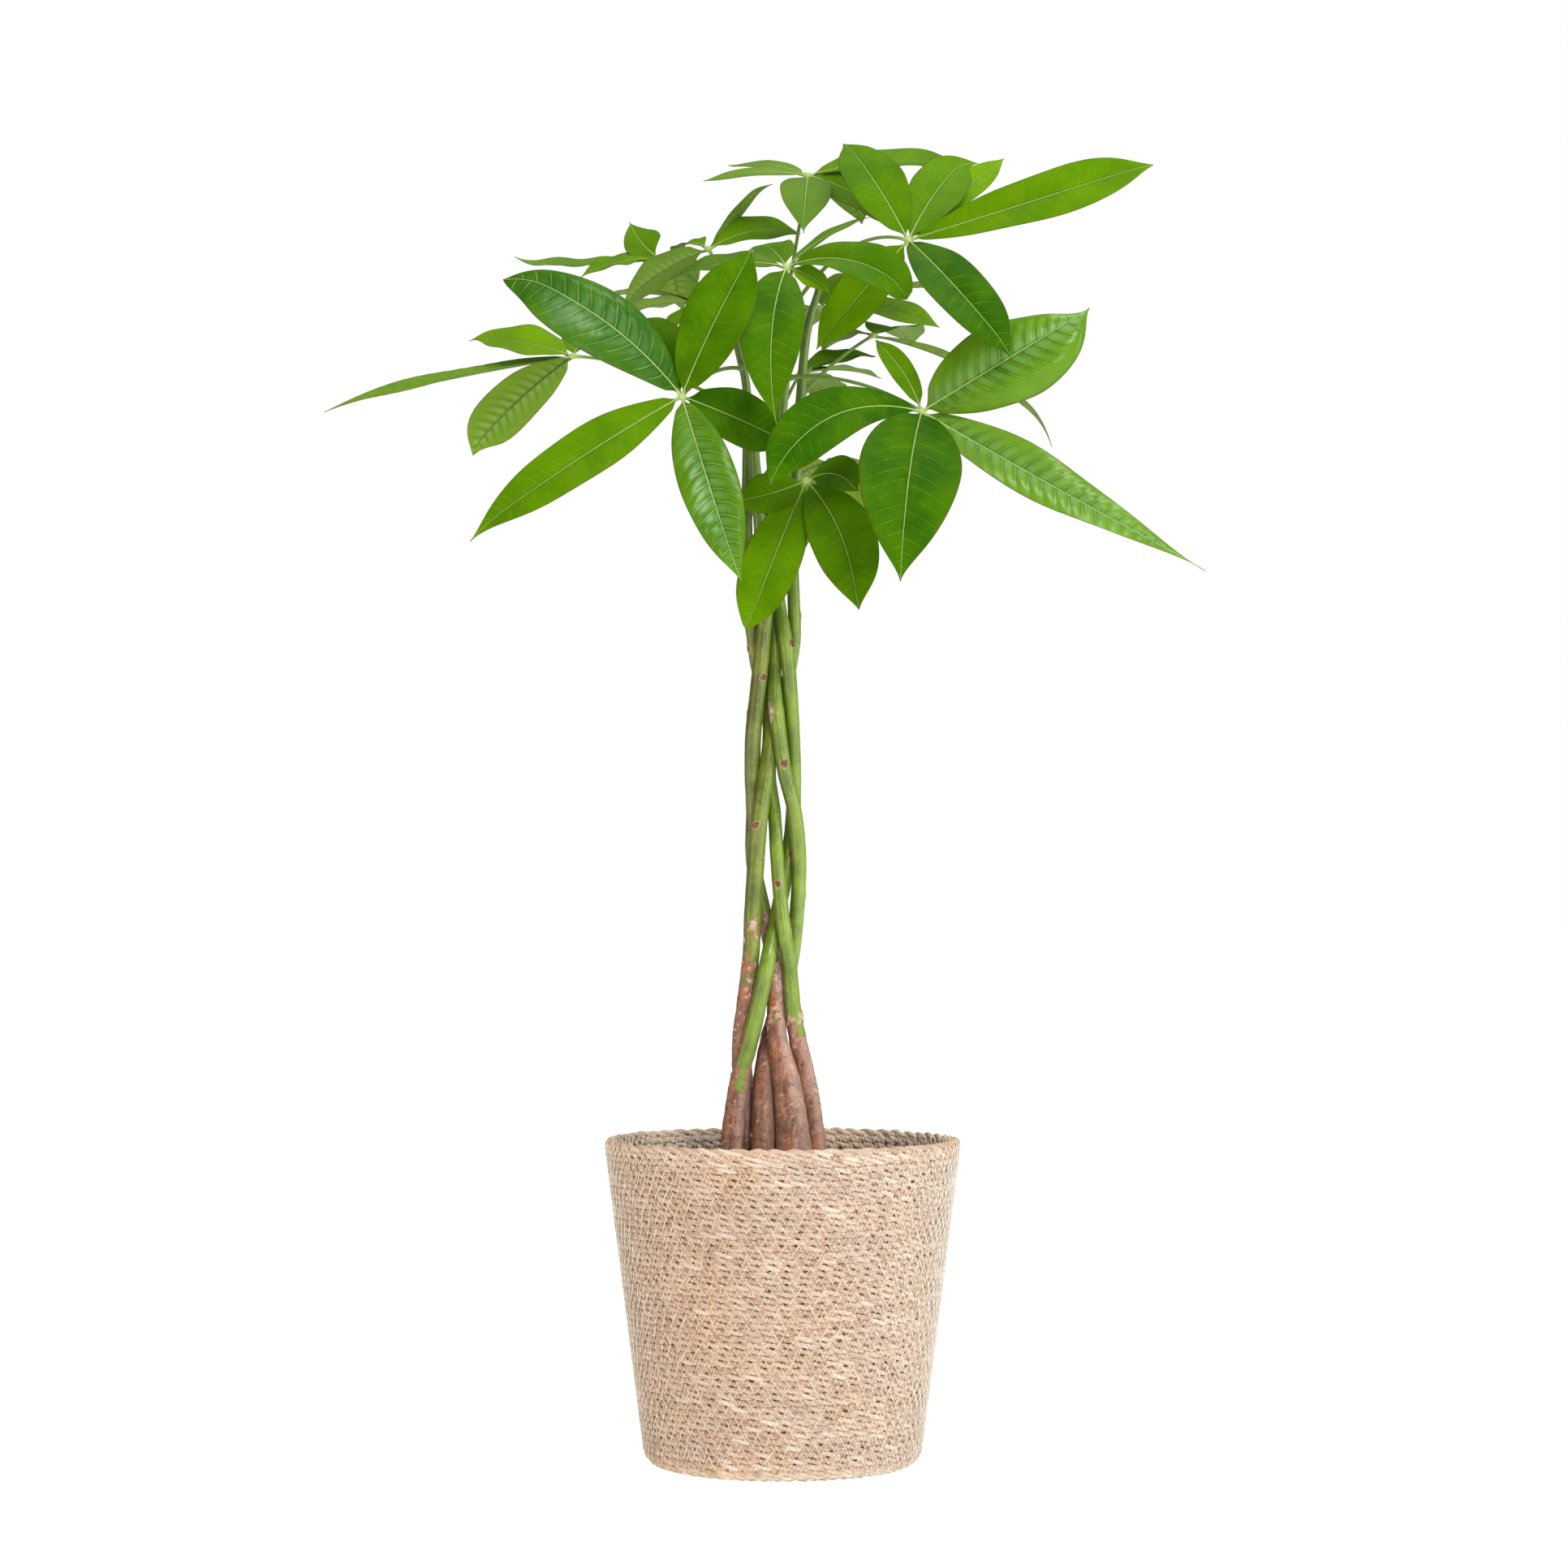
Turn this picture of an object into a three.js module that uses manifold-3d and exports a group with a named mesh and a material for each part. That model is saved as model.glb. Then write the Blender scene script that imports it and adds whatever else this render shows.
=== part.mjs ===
// A potted money tree: five plaited stems and their compound leaves, planted in a plastic
// nursery pot that stands in a seagrass basket.
// Millimetres, +Z up. The origin is the centre of the basket's underside, and the side that
// is seen from the front looks along -Y.
import * as THREE from "three";
import Module from "manifold-3d";

const wasm = await Module();
wasm.setup();

// ---- driving dimensions -------------------------------------------------------------------

const FIT_GAP = 0.3; // left between pieces that touch
const ROUND_STEPS = 4; // flats that make up a rounded edge

const BASKET = {
  height: 265,
  rimRadius: 145,
  baseRadius: 113,
  cornerRadius: 14, // round edge between the wall and the underside
  wall: 7.5, // one rope thick
  floor: 6.5,
  ropeRows: 14, // coil ridges, each one standing for three or four real rows
  ropeRelief: 1.5, // depth of the groove between two ridges
  rimBead: 4, // half the thickness of the rope along the rim
  sides: 32,
};

const POT = {
  rimHeight: 238, // above the ground
  topRadius: 123,
  baseRadius: 95,
  wall: 2,
  floor: 2.5,
  lipWidth: 4.5,
  lipDepth: 9,
  drainHoles: 6,
  drainRadius: 6,
  drainRing: 62, // distance of the drain holes from the middle
  drainSides: 10,
  lipTaper: 0.5, // how much the lip leans inwards on its way down
  sides: 32,
};

const potBottom = BASKET.floor + FIT_GAP;

const SOIL = {
  edgeHeight: 221, // above the ground, at the pot's wall
  middleHeight: 227,
};

const STEM_FOOT = 150; // height of the buried lower ends of the stems
const STEM_UPRIGHT = 215; // up to this height, in the soil, they stand straight up
const STEM_SIDES = 8;
const HALVINGS = 30; // enough to find a height on a stem's line exactly
const STEM_STEP = 24; // distance between two rings of a stem

const PETIOLE = { midRadius: 1.5, endRadius: 2.3, sides: 6, rings: 7 };
const HUB_RADIUS = 3.6; // swelling where the leaflets meet the petiole

const BLADE = {
  thickness: 0.9,
  stationStep: 27, // distance between two stations along the midrib
  fewestStations: 5,
  mostStations: 8,
  baseHalfWidth: 1.1,
  tipHalfWidth: 0.6,
  fold: 0.14, // rise of the edges over the midrib, per unit of half width
  fullness: 0.92, // lower is rounder
  belly: 0.54, // the share of its length where a leaflet is widest
};

// ---- where things are ---------------------------------------------------------------------

// Centre line of each stem from the soil upwards: x, y, height and radius at each point.
// The five cross over and under each other as a plait and spread in the crown.
const STEMS = {
  stem_1: [
    [-44, -1, 236, 10], [-42, -1, 255, 9.6], [-39, -2, 285, 8.4], [-34.8, -4, 315, 7.3],
    [-25.5, -6, 348, 7], [-20.2, -8, 371, 6.7], [-13.3, -11.5, 403, 6.6], [-9.6, -5, 421, 6.4],
    [-5.6, 1, 439, 6.3], [4.1, 8, 490, 6.1], [8.6, 8, 530, 6], [9, 4, 562, 6],
    [8, 1, 595, 5.9], [6.6, -3, 623, 5.9], [4.6, -7, 649, 5.9], [1.7, -7, 673, 5.8],
    [-3.6, -1, 702, 5.6], [-7, -5, 740, 5.2], [-6, -10, 780, 4.9], [-1, -21, 850, 4.3],
    [4, -31, 905, 3.8], [7, -38, 945, 3.3], [8, -40, 958, 2],
  ],
  stem_2: [
    [-29, 16, 236, 10], [-28, 15, 255, 10], [-32, 16, 292, 9.6], [-33.2, 13, 315, 8.2],
    [-33.8, 8, 348, 7], [-30.8, 4, 371, 7], [-26.9, -2, 403, 7], [-25.4, -4, 421, 7],
    [-24.9, -4, 439, 7], [-21.8, -5, 490, 7], [-18.2, -9, 530, 6.8], [-13.2, -8, 562, 6.5],
    [-10.3, 1, 595, 6.2], [-13.6, 5, 623, 6], [-20.6, 5, 649, 5.8], [-24.2, 3, 673, 5.6],
    [-28.2, 0, 702, 5.3], [-29.5, -1, 750, 4.8], [-29, -1, 830, 4], [-30, 0, 879, 3.4],
    [-37, 2, 911, 3.2], [-45, 8, 950, 2.9], [-48, 10, 963, 1.8],
  ],
  stem_3: [
    [-17, -2, 236, 10.5], [-15.6, -2, 255, 10.3], [-15, 1, 285, 10.1], [-14.5, 5, 315, 9.2],
    [-9, 11, 348, 8], [-2.6, 13, 371, 7], [6, 11, 403, 6.3], [9, 6, 421, 6.1],
    [10.9, 3, 439, 6], [13.3, -2, 490, 6], [9.6, -6, 530, 5.9], [1.5, -10, 562, 5.9],
    [-3, -11, 595, 6], [-6.5, -8, 623, 6.2], [-7, 1, 649, 5.8], [-7, 4, 673, 5.5],
    [-11.6, 8, 702, 5.3], [-13, 14, 740, 5], [-11, 20, 780, 4.7], [-6, 33, 860, 4],
    [-2, 44, 925, 3.3], [0, 48, 945, 2],
  ],
  stem_4: [
    [11, -10, 236, 14.8], [9, -10, 255, 14.4], [6, -9.5, 290, 12.2], [2.3, -8, 315, 10.5],
    [-4.6, -6, 348, 7.6], [-5.6, -2, 371, 7.2], [-6.3, 2, 403, 6.5], [-10, 10.8, 421, 6.3],
    [-13.5, 12.8, 439, 6.2], [-24.2, 9, 490, 6.1], [-23.8, 5, 530, 6.3], [-24.8, 1, 562, 6.5],
    [-24, -5, 595, 6.6], [-20.9, -7, 623, 6.6], [-18.2, -9, 649, 6.5], [-15.9, -9.5, 673, 6.2],
    [-13.5, -11.5, 702, 5.9], [-17, -15, 740, 5.4], [-20, -18, 780, 4.8], [-23, -22, 822, 4],
    [-24, -24, 838, 2.2],
  ],
  stem_5: [
    [29, 6, 236, 8.8], [26.9, 6, 255, 8.6], [23.5, 4, 290, 7.6], [18.9, 2, 315, 7.2],
    [11.6, -3, 348, 7], [8.3, -6, 371, 6.6], [5.6, -7, 403, 6.2], [3, -10.8, 421, 6.1],
    [0.3, -11.5, 439, 6], [-4.5, -6, 490, 5.6], [-7, 2, 530, 5.4], [-10.9, 6, 562, 5.3],
    [-6.6, 15, 595, 5.3], [-0.3, 10, 623, 5.3], [6.3, 7, 649, 5.2], [9.6, 4, 673, 5.2],
    [9, 4, 702, 5.1], [8, 4, 740, 4.9], [11, 6, 800, 4.5], [14, 8, 860, 4.1],
    [20, 12, 925, 3.5], [30, 17, 962, 2.9], [33, 18, 974, 1.8],
  ],
};

// Each compound leaf: the stem that carries it and the height of its foot there, the hub where
// its leaflets meet, the way its upper side faces, how far the petiole bows upwards, and its
// leaflets. A leaflet has a tip, a greatest width, and a lift: how far its middle rises over
// the line from hub to tip. It may have a sway (how far the middle swings to the left of that
// line, seen on the upper side), a belly (the share of its length where it is widest) and a
// facing of its own.
const LEAVES = {
  leaf_front_left: {
    stem: "stem_2", foot: 893, hub: [-80, -110, 857], faces: [-0.05, -0.96, 0.27], bow: 8,
    leaflets: [
      { tip: [-218, -140, 946], width: 54, lift: 14, sway: -6, belly: 0.49 },
      { tip: [-23, -138, 969], width: 52, lift: 10 },
      { tip: [-246, -155, 741], width: 43, lift: 12, sway: 1, belly: 0.48 },
      { tip: [-33, -160, 706], width: 47, lift: 14, sway: -1, belly: 0.5 },
      { tip: [4, -75, 824], width: 46, lift: 4 },
      { tip: [-112, -70, 926], width: 46, lift: 4 },
    ],
  },
  leaf_front_centre: {
    stem: "stem_1", foot: 905, hub: [3, -90, 963], faces: [0, -0.8, 0.6], bow: 4,
    leaflets: [
      { tip: [-6, -150, 832], width: 51, lift: 14, sway: -7, belly: 0.45 },
      { tip: [99, -112, 940], width: 40, lift: 14, sway: 7, belly: 0.68 },
      { tip: [37, -98, 943], width: 20, lift: 3 },
      { tip: [70, -40, 1012], width: 22, lift: 4, faces: [0.4, 0.2, 0.9] },
      { tip: [-16, -30, 990], width: 34, lift: 4 },
      { tip: [-97, -62, 953], width: 38, lift: 10, faces: [0, -0.5, 0.85] },
    ],
  },
  leaf_upper_right: {
    stem: "stem_1", foot: 935, hub: [101, -60, 989], faces: [0.05, -0.92, 0.38], bow: 22,
    leaflets: [
      { tip: [296, -80, 1048], width: 42, lift: 12, sway: -7, belly: 0.6 },
      { tip: [51, -5, 1078], width: 48, lift: 8 },
      { tip: [151, 5, 1067], width: 44, lift: 6, sway: 3 },
      { tip: [180, -152, 885], width: 46, lift: 18, sway: -6, belly: 0.58 },
      { tip: [26, -58, 902], width: 40, lift: 3, belly: 0.5 },
      { tip: [184, 50, 1074], width: 26, lift: 6 },
    ],
  },
  leaf_front_right: {
    stem: "stem_1", foot: 882, hub: [110, -110, 845], faces: [0.05, -0.94, 0.33], bow: 10,
    leaflets: [
      { tip: [241, -135, 923], width: 60, lift: 12, sway: -8, belly: 0.6 },
      { tip: [331, -145, 717], width: 34, lift: 16, sway: -9, belly: 0.36 },
      { tip: [90, -205, 702], width: 80, lift: 20, sway: -4, belly: 0.5 },
      { tip: [-11, -150, 785], width: 47, lift: 12, sway: -23, belly: 0.62 },
      { tip: [73, -80, 906], width: 20, lift: 3, sway: -4 },
    ],
  },
  leaf_top: {
    stem: "stem_3", foot: 928, hub: [21, 40, 1059], faces: [0, 0.02, 1], bow: 0,
    leaflets: [
      { tip: [-66, 55, 1056], width: 34, lift: 6 },
      { tip: [-46, 110, 1078], width: 38, lift: 6 },
      { tip: [16, -8, 1003], width: 43, lift: 8, belly: 0.45, faces: [0, -0.9, 0.4] },
      { tip: [153, 60, 1070], width: 46, lift: 8, faces: [0, -0.5, 0.85] },
      { tip: [98, 12, 1010], width: 40, lift: 8, faces: [0, -0.7, 0.7] },
      { tip: [70, 170, 1040], width: 46, lift: 14 },
    ],
  },
  leaf_upper_left: {
    stem: "stem_2", foot: 940, hub: [-62, 60, 1001], faces: [-0.1, 0.1, 1], bow: 6,
    leaflets: [
      { tip: [-14, 85, 1062], width: 26, lift: 4, sway: 5, faces: [-0.9, 0.4, 0.3] },
      { tip: [16, 100, 1020], width: 44, lift: 10, faces: [0, -0.6, 0.8] },
      { tip: [-91, 88, 1001], width: 30, lift: 7, faces: [0, -0.4, 0.9] },
      { tip: [-132, 40, 951], width: 34, lift: 8, faces: [-0.2, 0.6, 0.75] },
    ],
  },
  leaf_far_left: {
    stem: "stem_2", foot: 855, hub: [-173, 20, 906], faces: [-0.1, 0.05, 1], bow: 10,
    leaflets: [
      { tip: [-260, 50, 926], width: 44, lift: 4, belly: 0.45, faces: [0, -0.6, 0.8] },
      { tip: [-381, 40, 864], width: 42, lift: 3 },
      { tip: [-262, 60, 831], width: 48, lift: 8, belly: 0.68, faces: [-0.3, 0.85, 0.45] },
      { tip: [-152, 130, 938], width: 40, lift: 8 },
    ],
  },
  leaf_back_left: {
    stem: "stem_2", foot: 926, hub: [-106, 130, 1004], faces: [0, 0.05, 1], bow: 10,
    leaflets: [
      { tip: [-141, 180, 1034], width: 36, lift: 4, sway: 5, faces: [0, -0.9, 0.4] },
      { tip: [-229, 140, 1001], width: 36, lift: -3 },
      { tip: [-170, 100, 985], width: 32, lift: 4, faces: [0, -0.4, 0.9] },
      { tip: [-90, 245, 975], width: 48, lift: 18 },
    ],
  },
  leaf_mid_left: {
    stem: "stem_3", foot: 905, hub: [-71, 90, 960], faces: [0, 0.1, 1], bow: 4,
    leaflets: [
      { tip: [-150, 155, 975], width: 34, lift: 5 },
      { tip: [-140, 105, 950], width: 34, lift: 5 },
      { tip: [-97, 50, 926], width: 22, lift: 4 },
      { tip: [-60, 215, 915], width: 42, lift: 12 },
    ],
  },
  leaf_mid_right: {
    stem: "stem_3", foot: 895, hub: [31, 85, 955], faces: [0, 0.05, 1], bow: 4,
    leaflets: [
      { tip: [130, 40, 932], width: 36, lift: 9, faces: [0, -0.55, 0.8] },
      { tip: [78, 200, 1000], width: 44, lift: 8 },
      { tip: [0, 225, 940], width: 44, lift: 12 },
      { tip: [150, 150, 980], width: 40, lift: 8 },
    ],
  },
  leaf_inner_right: {
    stem: "stem_3", foot: 845, hub: [15, 60, 897], faces: [0, -0.1, 1], bow: 4,
    leaflets: [
      { tip: [80, 128, 920], width: 34, lift: 6, faces: [0, -0.4, 0.9] },
      { tip: [82, 80, 895], width: 30, lift: 5 },
      { tip: [48, 165, 872], width: 40, lift: 8 },
    ],
  },
  leaf_back_right: {
    stem: "stem_5", foot: 872, hub: [76, 70, 930], faces: [0.1, 0, 1], bow: 4,
    leaflets: [
      { tip: [32, 130, 926], width: 24, lift: 7 },
      { tip: [229, 60, 843], width: 36, lift: 14, faces: [0.5, 0, 0.85] },
      { tip: [112, 215, 942], width: 46, lift: 10 },
    ],
  },
  leaf_low_centre: {
    stem: "stem_4", foot: 775, hub: [19, -60, 795], faces: [0, -0.92, 0.38], bow: 4,
    leaflets: [
      { tip: [-28, -100, 673], width: 46, lift: 8, belly: 0.6 },
      { tip: [59, -100, 689], width: 54, lift: 10, sway: 8, belly: 0.52 },
      { tip: [-40, -66, 777], width: 36, lift: 4, sway: 4 },
      { tip: [59, -90, 782], width: 34, lift: 4, sway: 10 },
    ],
  },
  leaf_back_low: {
    stem: "stem_5", foot: 780, hub: [40, 105, 828], faces: [0, 0.7, 0.7], bow: 6,
    leaflets: [
      { tip: [76, 210, 792], width: 44, lift: 12 },
      { tip: [20, 235, 768], width: 48, lift: 14 },
      { tip: [-28, 180, 790], width: 40, lift: 10 },
      { tip: [62, 150, 748], width: 36, lift: 8 },
    ],
  },
  leaf_back_centre: {
    stem: "stem_3", foot: 800, hub: [0, 150, 855], faces: [-0.2, 0.6, 0.75], bow: 6,
    leaflets: [
      { tip: [-12, 270, 872], width: 48, lift: 12 },
      { tip: [60, 245, 868], width: 46, lift: 10 },
      { tip: [18, 235, 818], width: 42, lift: 10 },
      { tip: [-28, 212, 850], width: 34, lift: 8 },
    ],
  },
};

// ---- materials ----------------------------------------------------------------------------

function material(colour, roughness) {
  return new THREE.MeshStandardMaterial({ color: colour, roughness, metalness: 0 });
}

const SEAGRASS = 0xd0b48e;
const DARK_PLASTIC = 0x3a332e;
const POTTING_SOIL = 0x3b2a1e;
const GREEN_BARK = 0x87934a;
const LEAF_GREEN = 0x5f9418;

// ---- solids -------------------------------------------------------------------------------

function toManifold(positions, triangles) {
  return new wasm.Manifold(
    new wasm.Mesh({
      numProp: 3,
      vertProperties: new Float32Array(positions),
      triVerts: new Uint32Array(triangles),
    }),
  );
}

function toGeometry(solid) {
  const mesh = solid.getMesh();
  const positions = [];
  for (let i = 0; i < mesh.numVert; i += 1) {
    for (let axis = 0; axis < 3; axis += 1) {
      positions.push(mesh.vertProperties[i * mesh.numProp + axis]);
    }
  }
  const geometry = new THREE.BufferGeometry();
  geometry.setAttribute("position", new THREE.Float32BufferAttribute(positions, 3));
  geometry.setIndex(Array.from(mesh.triVerts));
  return geometry;
}

// A solid of revolution about the vertical. The profile of [radius, height] points starts on
// the axis below, runs round the outside and ends on the axis.
function spun(profile, sides) {
  const positions = [];
  const rows = profile.map(([radius, height]) => {
    const first = positions.length / 3;
    const count = radius === 0 ? 1 : sides;
    for (let j = 0; j < count; j += 1) {
      const angle = (2 * Math.PI * j) / sides;
      positions.push(radius * Math.cos(angle), radius * Math.sin(angle), height);
    }
    return { first, count };
  });
  const at = (row, j) => row.first + (row.count === 1 ? 0 : j % sides);
  const triangles = [];
  for (let i = 0; i + 1 < rows.length; i += 1) {
    const [low, high] = [rows[i], rows[i + 1]];
    for (let j = 0; j < sides; j += 1) {
      if (low.count > 1) triangles.push(at(low, j), at(low, j + 1), at(high, j));
      if (high.count > 1) triangles.push(at(low, j + 1), at(high, j + 1), at(high, j));
    }
  }
  return toManifold(positions, triangles);
}

// A closed tube through rings of the given centres and radii, with flat ends.
function tube(centres, radii, sides) {
  const last = centres.length - 1;
  const tangents = centres.map((centre, i) =>
    centres[Math.min(i + 1, last)].clone().sub(centres[Math.max(i - 1, 0)]).normalize());
  const side = new THREE.Vector3(1, 0, 0);
  if (Math.abs(tangents[0].x) > 0.9) side.set(0, 1, 0);
  const positions = [];
  centres.forEach((centre, i) => {
    side.addScaledVector(tangents[i], -side.dot(tangents[i])).normalize();
    const up = new THREE.Vector3().crossVectors(tangents[i], side);
    for (let j = 0; j < sides; j += 1) {
      const angle = (2 * Math.PI * j) / sides;
      const point = centre.clone()
        .addScaledVector(side, radii[i] * Math.cos(angle))
        .addScaledVector(up, radii[i] * Math.sin(angle));
      positions.push(point.x, point.y, point.z);
    }
  });
  const triangles = [];
  for (let i = 0; i < last; i += 1) {
    for (let j = 0; j < sides; j += 1) {
      const [a, b] = [i * sides + j, i * sides + ((j + 1) % sides)];
      triangles.push(a, b, b + sides, a, b + sides, a + sides);
    }
  }
  for (let j = 1; j + 1 < sides; j += 1) {
    triangles.push(0, j + 1, j);
    triangles.push(last * sides, last * sides + j, last * sides + j + 1);
  }
  return toManifold(positions, triangles);
}

function ball(centre, radius) {
  const solid = new THREE.IcosahedronGeometry(radius, 0);
  const corners = [];
  const positions = [];
  const triangles = [];
  const point = new THREE.Vector3();
  for (let i = 0; i < solid.attributes.position.count; i += 1) {
    point.fromBufferAttribute(solid.attributes.position, i);
    let corner = corners.findIndex((other) => other.distanceTo(point) < 1e-3);
    if (corner < 0) {
      corner = corners.push(point.clone()) - 1;
      positions.push(point.x + centre.x, point.y + centre.y, point.z + centre.z);
    }
    triangles.push(corner);
  }
  return toManifold(positions, triangles);
}

// ---- holder and soil ----------------------------------------------------------------------

function basketRadius(height) {
  return THREE.MathUtils.lerp(BASKET.baseRadius, BASKET.rimRadius, height / BASKET.height);
}

function basket() {
  const { cornerRadius, ropeRows, ropeRelief, rimBead, wall, floor, height } = BASKET;
  const profile = [[0, 0]];
  for (let i = 0; i <= ROUND_STEPS; i += 1) {
    const turn = (Math.PI / 2) * (i / ROUND_STEPS);
    const inset = cornerRadius * (1 - Math.sin(turn));
    const rise = cornerRadius * (1 - Math.cos(turn));
    profile.push([basketRadius(rise) - ropeRelief - inset, rise]);
  }
  const beadMiddle = height - rimBead;
  const rowHeight = (beadMiddle - rimBead - cornerRadius) / ropeRows;
  for (let i = 0; i < ropeRows; i += 1) {
    const middle = cornerRadius + (i + 0.5) * rowHeight;
    const top = middle + rowHeight / 2;
    profile.push([basketRadius(middle), middle]);
    profile.push([basketRadius(top) - ropeRelief, top]);
  }
  const beadRadius = BASKET.rimRadius - rimBead;
  for (let i = 0; i <= ROUND_STEPS; i += 1) {
    const turn = Math.PI * (i / ROUND_STEPS);
    profile.push([beadRadius + rimBead * Math.cos(turn), beadMiddle + rimBead * Math.sin(turn)]);
  }
  profile.push([basketRadius(floor) - wall, floor + cornerRadius / 2]);
  profile.push([basketRadius(floor) - wall - cornerRadius / 2, floor]);
  profile.push([0, floor]);
  return spun(profile, BASKET.sides);
}

function potInnerRadius(height) {
  const share = (height - potBottom) / (POT.rimHeight - potBottom);
  return THREE.MathUtils.lerp(POT.baseRadius, POT.topRadius, share) - POT.wall;
}

function nurseryPot() {
  const { rimHeight, lipWidth, lipDepth, baseRadius, topRadius, wall, floor } = POT;
  const underLip = rimHeight - lipDepth;
  const outerUnderLip = potInnerRadius(underLip) + wall;
  const profile = [
    [0, potBottom],
    [baseRadius, potBottom],
    [outerUnderLip, underLip],
    [outerUnderLip + lipWidth - POT.lipTaper, underLip],
    [topRadius + lipWidth, rimHeight],
    [topRadius - wall, rimHeight],
    [potInnerRadius(potBottom + floor), potBottom + floor],
    [0, potBottom + floor],
  ];
  let pot = spun(profile, POT.sides);
  for (let i = 0; i < POT.drainHoles; i += 1) {
    const angle = (2 * Math.PI * i) / POT.drainHoles;
    const place = [POT.drainRing * Math.cos(angle), POT.drainRing * Math.sin(angle)];
    const below = new THREE.Vector3(...place, potBottom - floor);
    const above = new THREE.Vector3(...place, potBottom + 2 * floor);
    pot = pot.subtract(tube([below, above], [POT.drainRadius, POT.drainRadius], POT.drainSides));
  }
  return pot;
}

function soil(stems) {
  const bottom = potBottom + POT.floor + FIT_GAP;
  const profile = [
    [0, bottom],
    [potInnerRadius(bottom) - FIT_GAP, bottom],
    [potInnerRadius(SOIL.edgeHeight) - FIT_GAP, SOIL.edgeHeight],
    [0, SOIL.middleHeight],
  ];
  const holes = Object.values(stems).map((stem) => stem.grown);
  return holes.reduce((bed, hole) => bed.subtract(hole), spun(profile, POT.sides));
}

// ---- stems --------------------------------------------------------------------------------

// A stem's line, and its radius at a height: the buried part goes straight down.
function stemLine(points) {
  const [x, y, , radius] = points[0];
  const line = [[x, y, STEM_FOOT, radius], [x, y, STEM_UPRIGHT, radius], ...points];
  const curve = new THREE.CatmullRomCurve3(
    line.map(([px, py, pz]) => new THREE.Vector3(px, py, pz)), false, "centripetal");
  const radiusAt = (height) => {
    const above = line.findIndex((point) => point[2] >= height);
    if (above <= 0) return line[above === 0 ? 0 : line.length - 1][3];
    const [low, high] = [line[above - 1], line[above]];
    const share = (height - low[2]) / (high[2] - low[2]);
    return THREE.MathUtils.lerp(low[3], high[3], share);
  };
  const pointAt = (height) => {
    let [low, high] = [0, 1];
    for (let i = 0; i < HALVINGS; i += 1) {
      const middle = (low + high) / 2;
      if (curve.getPoint(middle).z < height) low = middle;
      else high = middle;
    }
    return curve.getPoint(low);
  };
  return { curve, radiusAt, pointAt };
}

function stem(points) {
  const line = stemLine(points);
  const steps = Math.round(line.curve.getLength() / STEM_STEP);
  const centres = line.curve.getSpacedPoints(steps);
  const radii = centres.map((centre) => line.radiusAt(centre.z));
  const grownCentres = centres.map((centre) => centre.clone());
  grownCentres[0].z -= FIT_GAP;
  return {
    line,
    solid: tube(centres, radii, STEM_SIDES),
    grown: tube(grownCentres, radii.map((radius) => radius + FIT_GAP), STEM_SIDES),
  };
}

// ---- leaves -------------------------------------------------------------------------------

// Half the width of a leaflet at a share of its length, as a part of its greatest half width.
function outline(share, belly) {
  const towardsBase = BLADE.fullness;
  const towardsTip = (towardsBase * (1 - belly)) / belly;
  const greatest = belly ** towardsBase * (1 - belly) ** towardsTip;
  return (share ** towardsBase * (1 - share) ** towardsTip) / greatest;
}

// One leaflet: a thin blade, folded a little along its midrib, which runs from the hub to the
// tip as one bowed line.
function leafletBlade(hub, faces, { tip, width, lift, sway = 0, belly = BLADE.belly }) {
  const end = new THREE.Vector3(...tip);
  const chord = end.clone().sub(hub).normalize();
  const upper = faces.clone().addScaledVector(chord, -faces.dot(chord)).normalize();
  const left = new THREE.Vector3().crossVectors(upper, chord);
  const control = hub.clone().add(end).multiplyScalar(0.5)
    .addScaledVector(upper, 2 * lift)
    .addScaledVector(left, 2 * sway);
  const midrib = new THREE.QuadraticBezierCurve3(hub, control, end);
  const stations = THREE.MathUtils.clamp(Math.round(midrib.getLength() / BLADE.stationStep) + 1,
    BLADE.fewestStations, BLADE.mostStations);
  const positions = [];
  for (let i = 0; i < stations; i += 1) {
    const share = i / (stations - 1);
    const centre = midrib.getPoint(share);
    const along = midrib.getTangent(share);
    const across = new THREE.Vector3().crossVectors(upper, along).normalize();
    const out = new THREE.Vector3().crossVectors(along, across);
    const least = THREE.MathUtils.lerp(BLADE.baseHalfWidth, BLADE.tipHalfWidth, share);
    const half = Math.max(least, (width / 2) * outline(share, belly));
    for (const face of [0.5, -0.5]) {
      for (const side of [1, 0, -1]) {
        const rise = Math.abs(side) * half * BLADE.fold + face * BLADE.thickness;
        const point = centre.clone()
          .addScaledVector(across, side * half)
          .addScaledVector(out, rise);
        positions.push(point.x, point.y, point.z);
      }
    }
  }
  return toManifold(positions, bladeTriangles(stations));
}

// Six points a station: left, middle and right above, then the same below. Both faces are
// split along the same diagonals.
function bladeTriangles(stations) {
  const triangles = [];
  const upperFace = (a, b, c) => {
    triangles.push(a, b, c);
    triangles.push(a + 3, c + 3, b + 3);
  };
  for (let i = 0; i + 1 < stations; i += 1) {
    const [here, next] = [i * 6, (i + 1) * 6];
    for (const k of [0, 1]) {
      upperFace(here + k, here + k + 1, next + k);
      upperFace(here + k + 1, next + k + 1, next + k);
    }
    triangles.push(here, next, next + 3, here, next + 3, here + 3);
    triangles.push(here + 2, here + 5, next + 5, here + 2, next + 5, next + 2);
  }
  const tip = (stations - 1) * 6;
  triangles.push(0, 3, 4, 0, 4, 1, 1, 4, 5, 1, 5, 2);
  triangles.push(tip, tip + 1, tip + 4, tip, tip + 4, tip + 3);
  triangles.push(tip + 1, tip + 2, tip + 5, tip + 1, tip + 5, tip + 4);
  return triangles;
}

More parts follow.
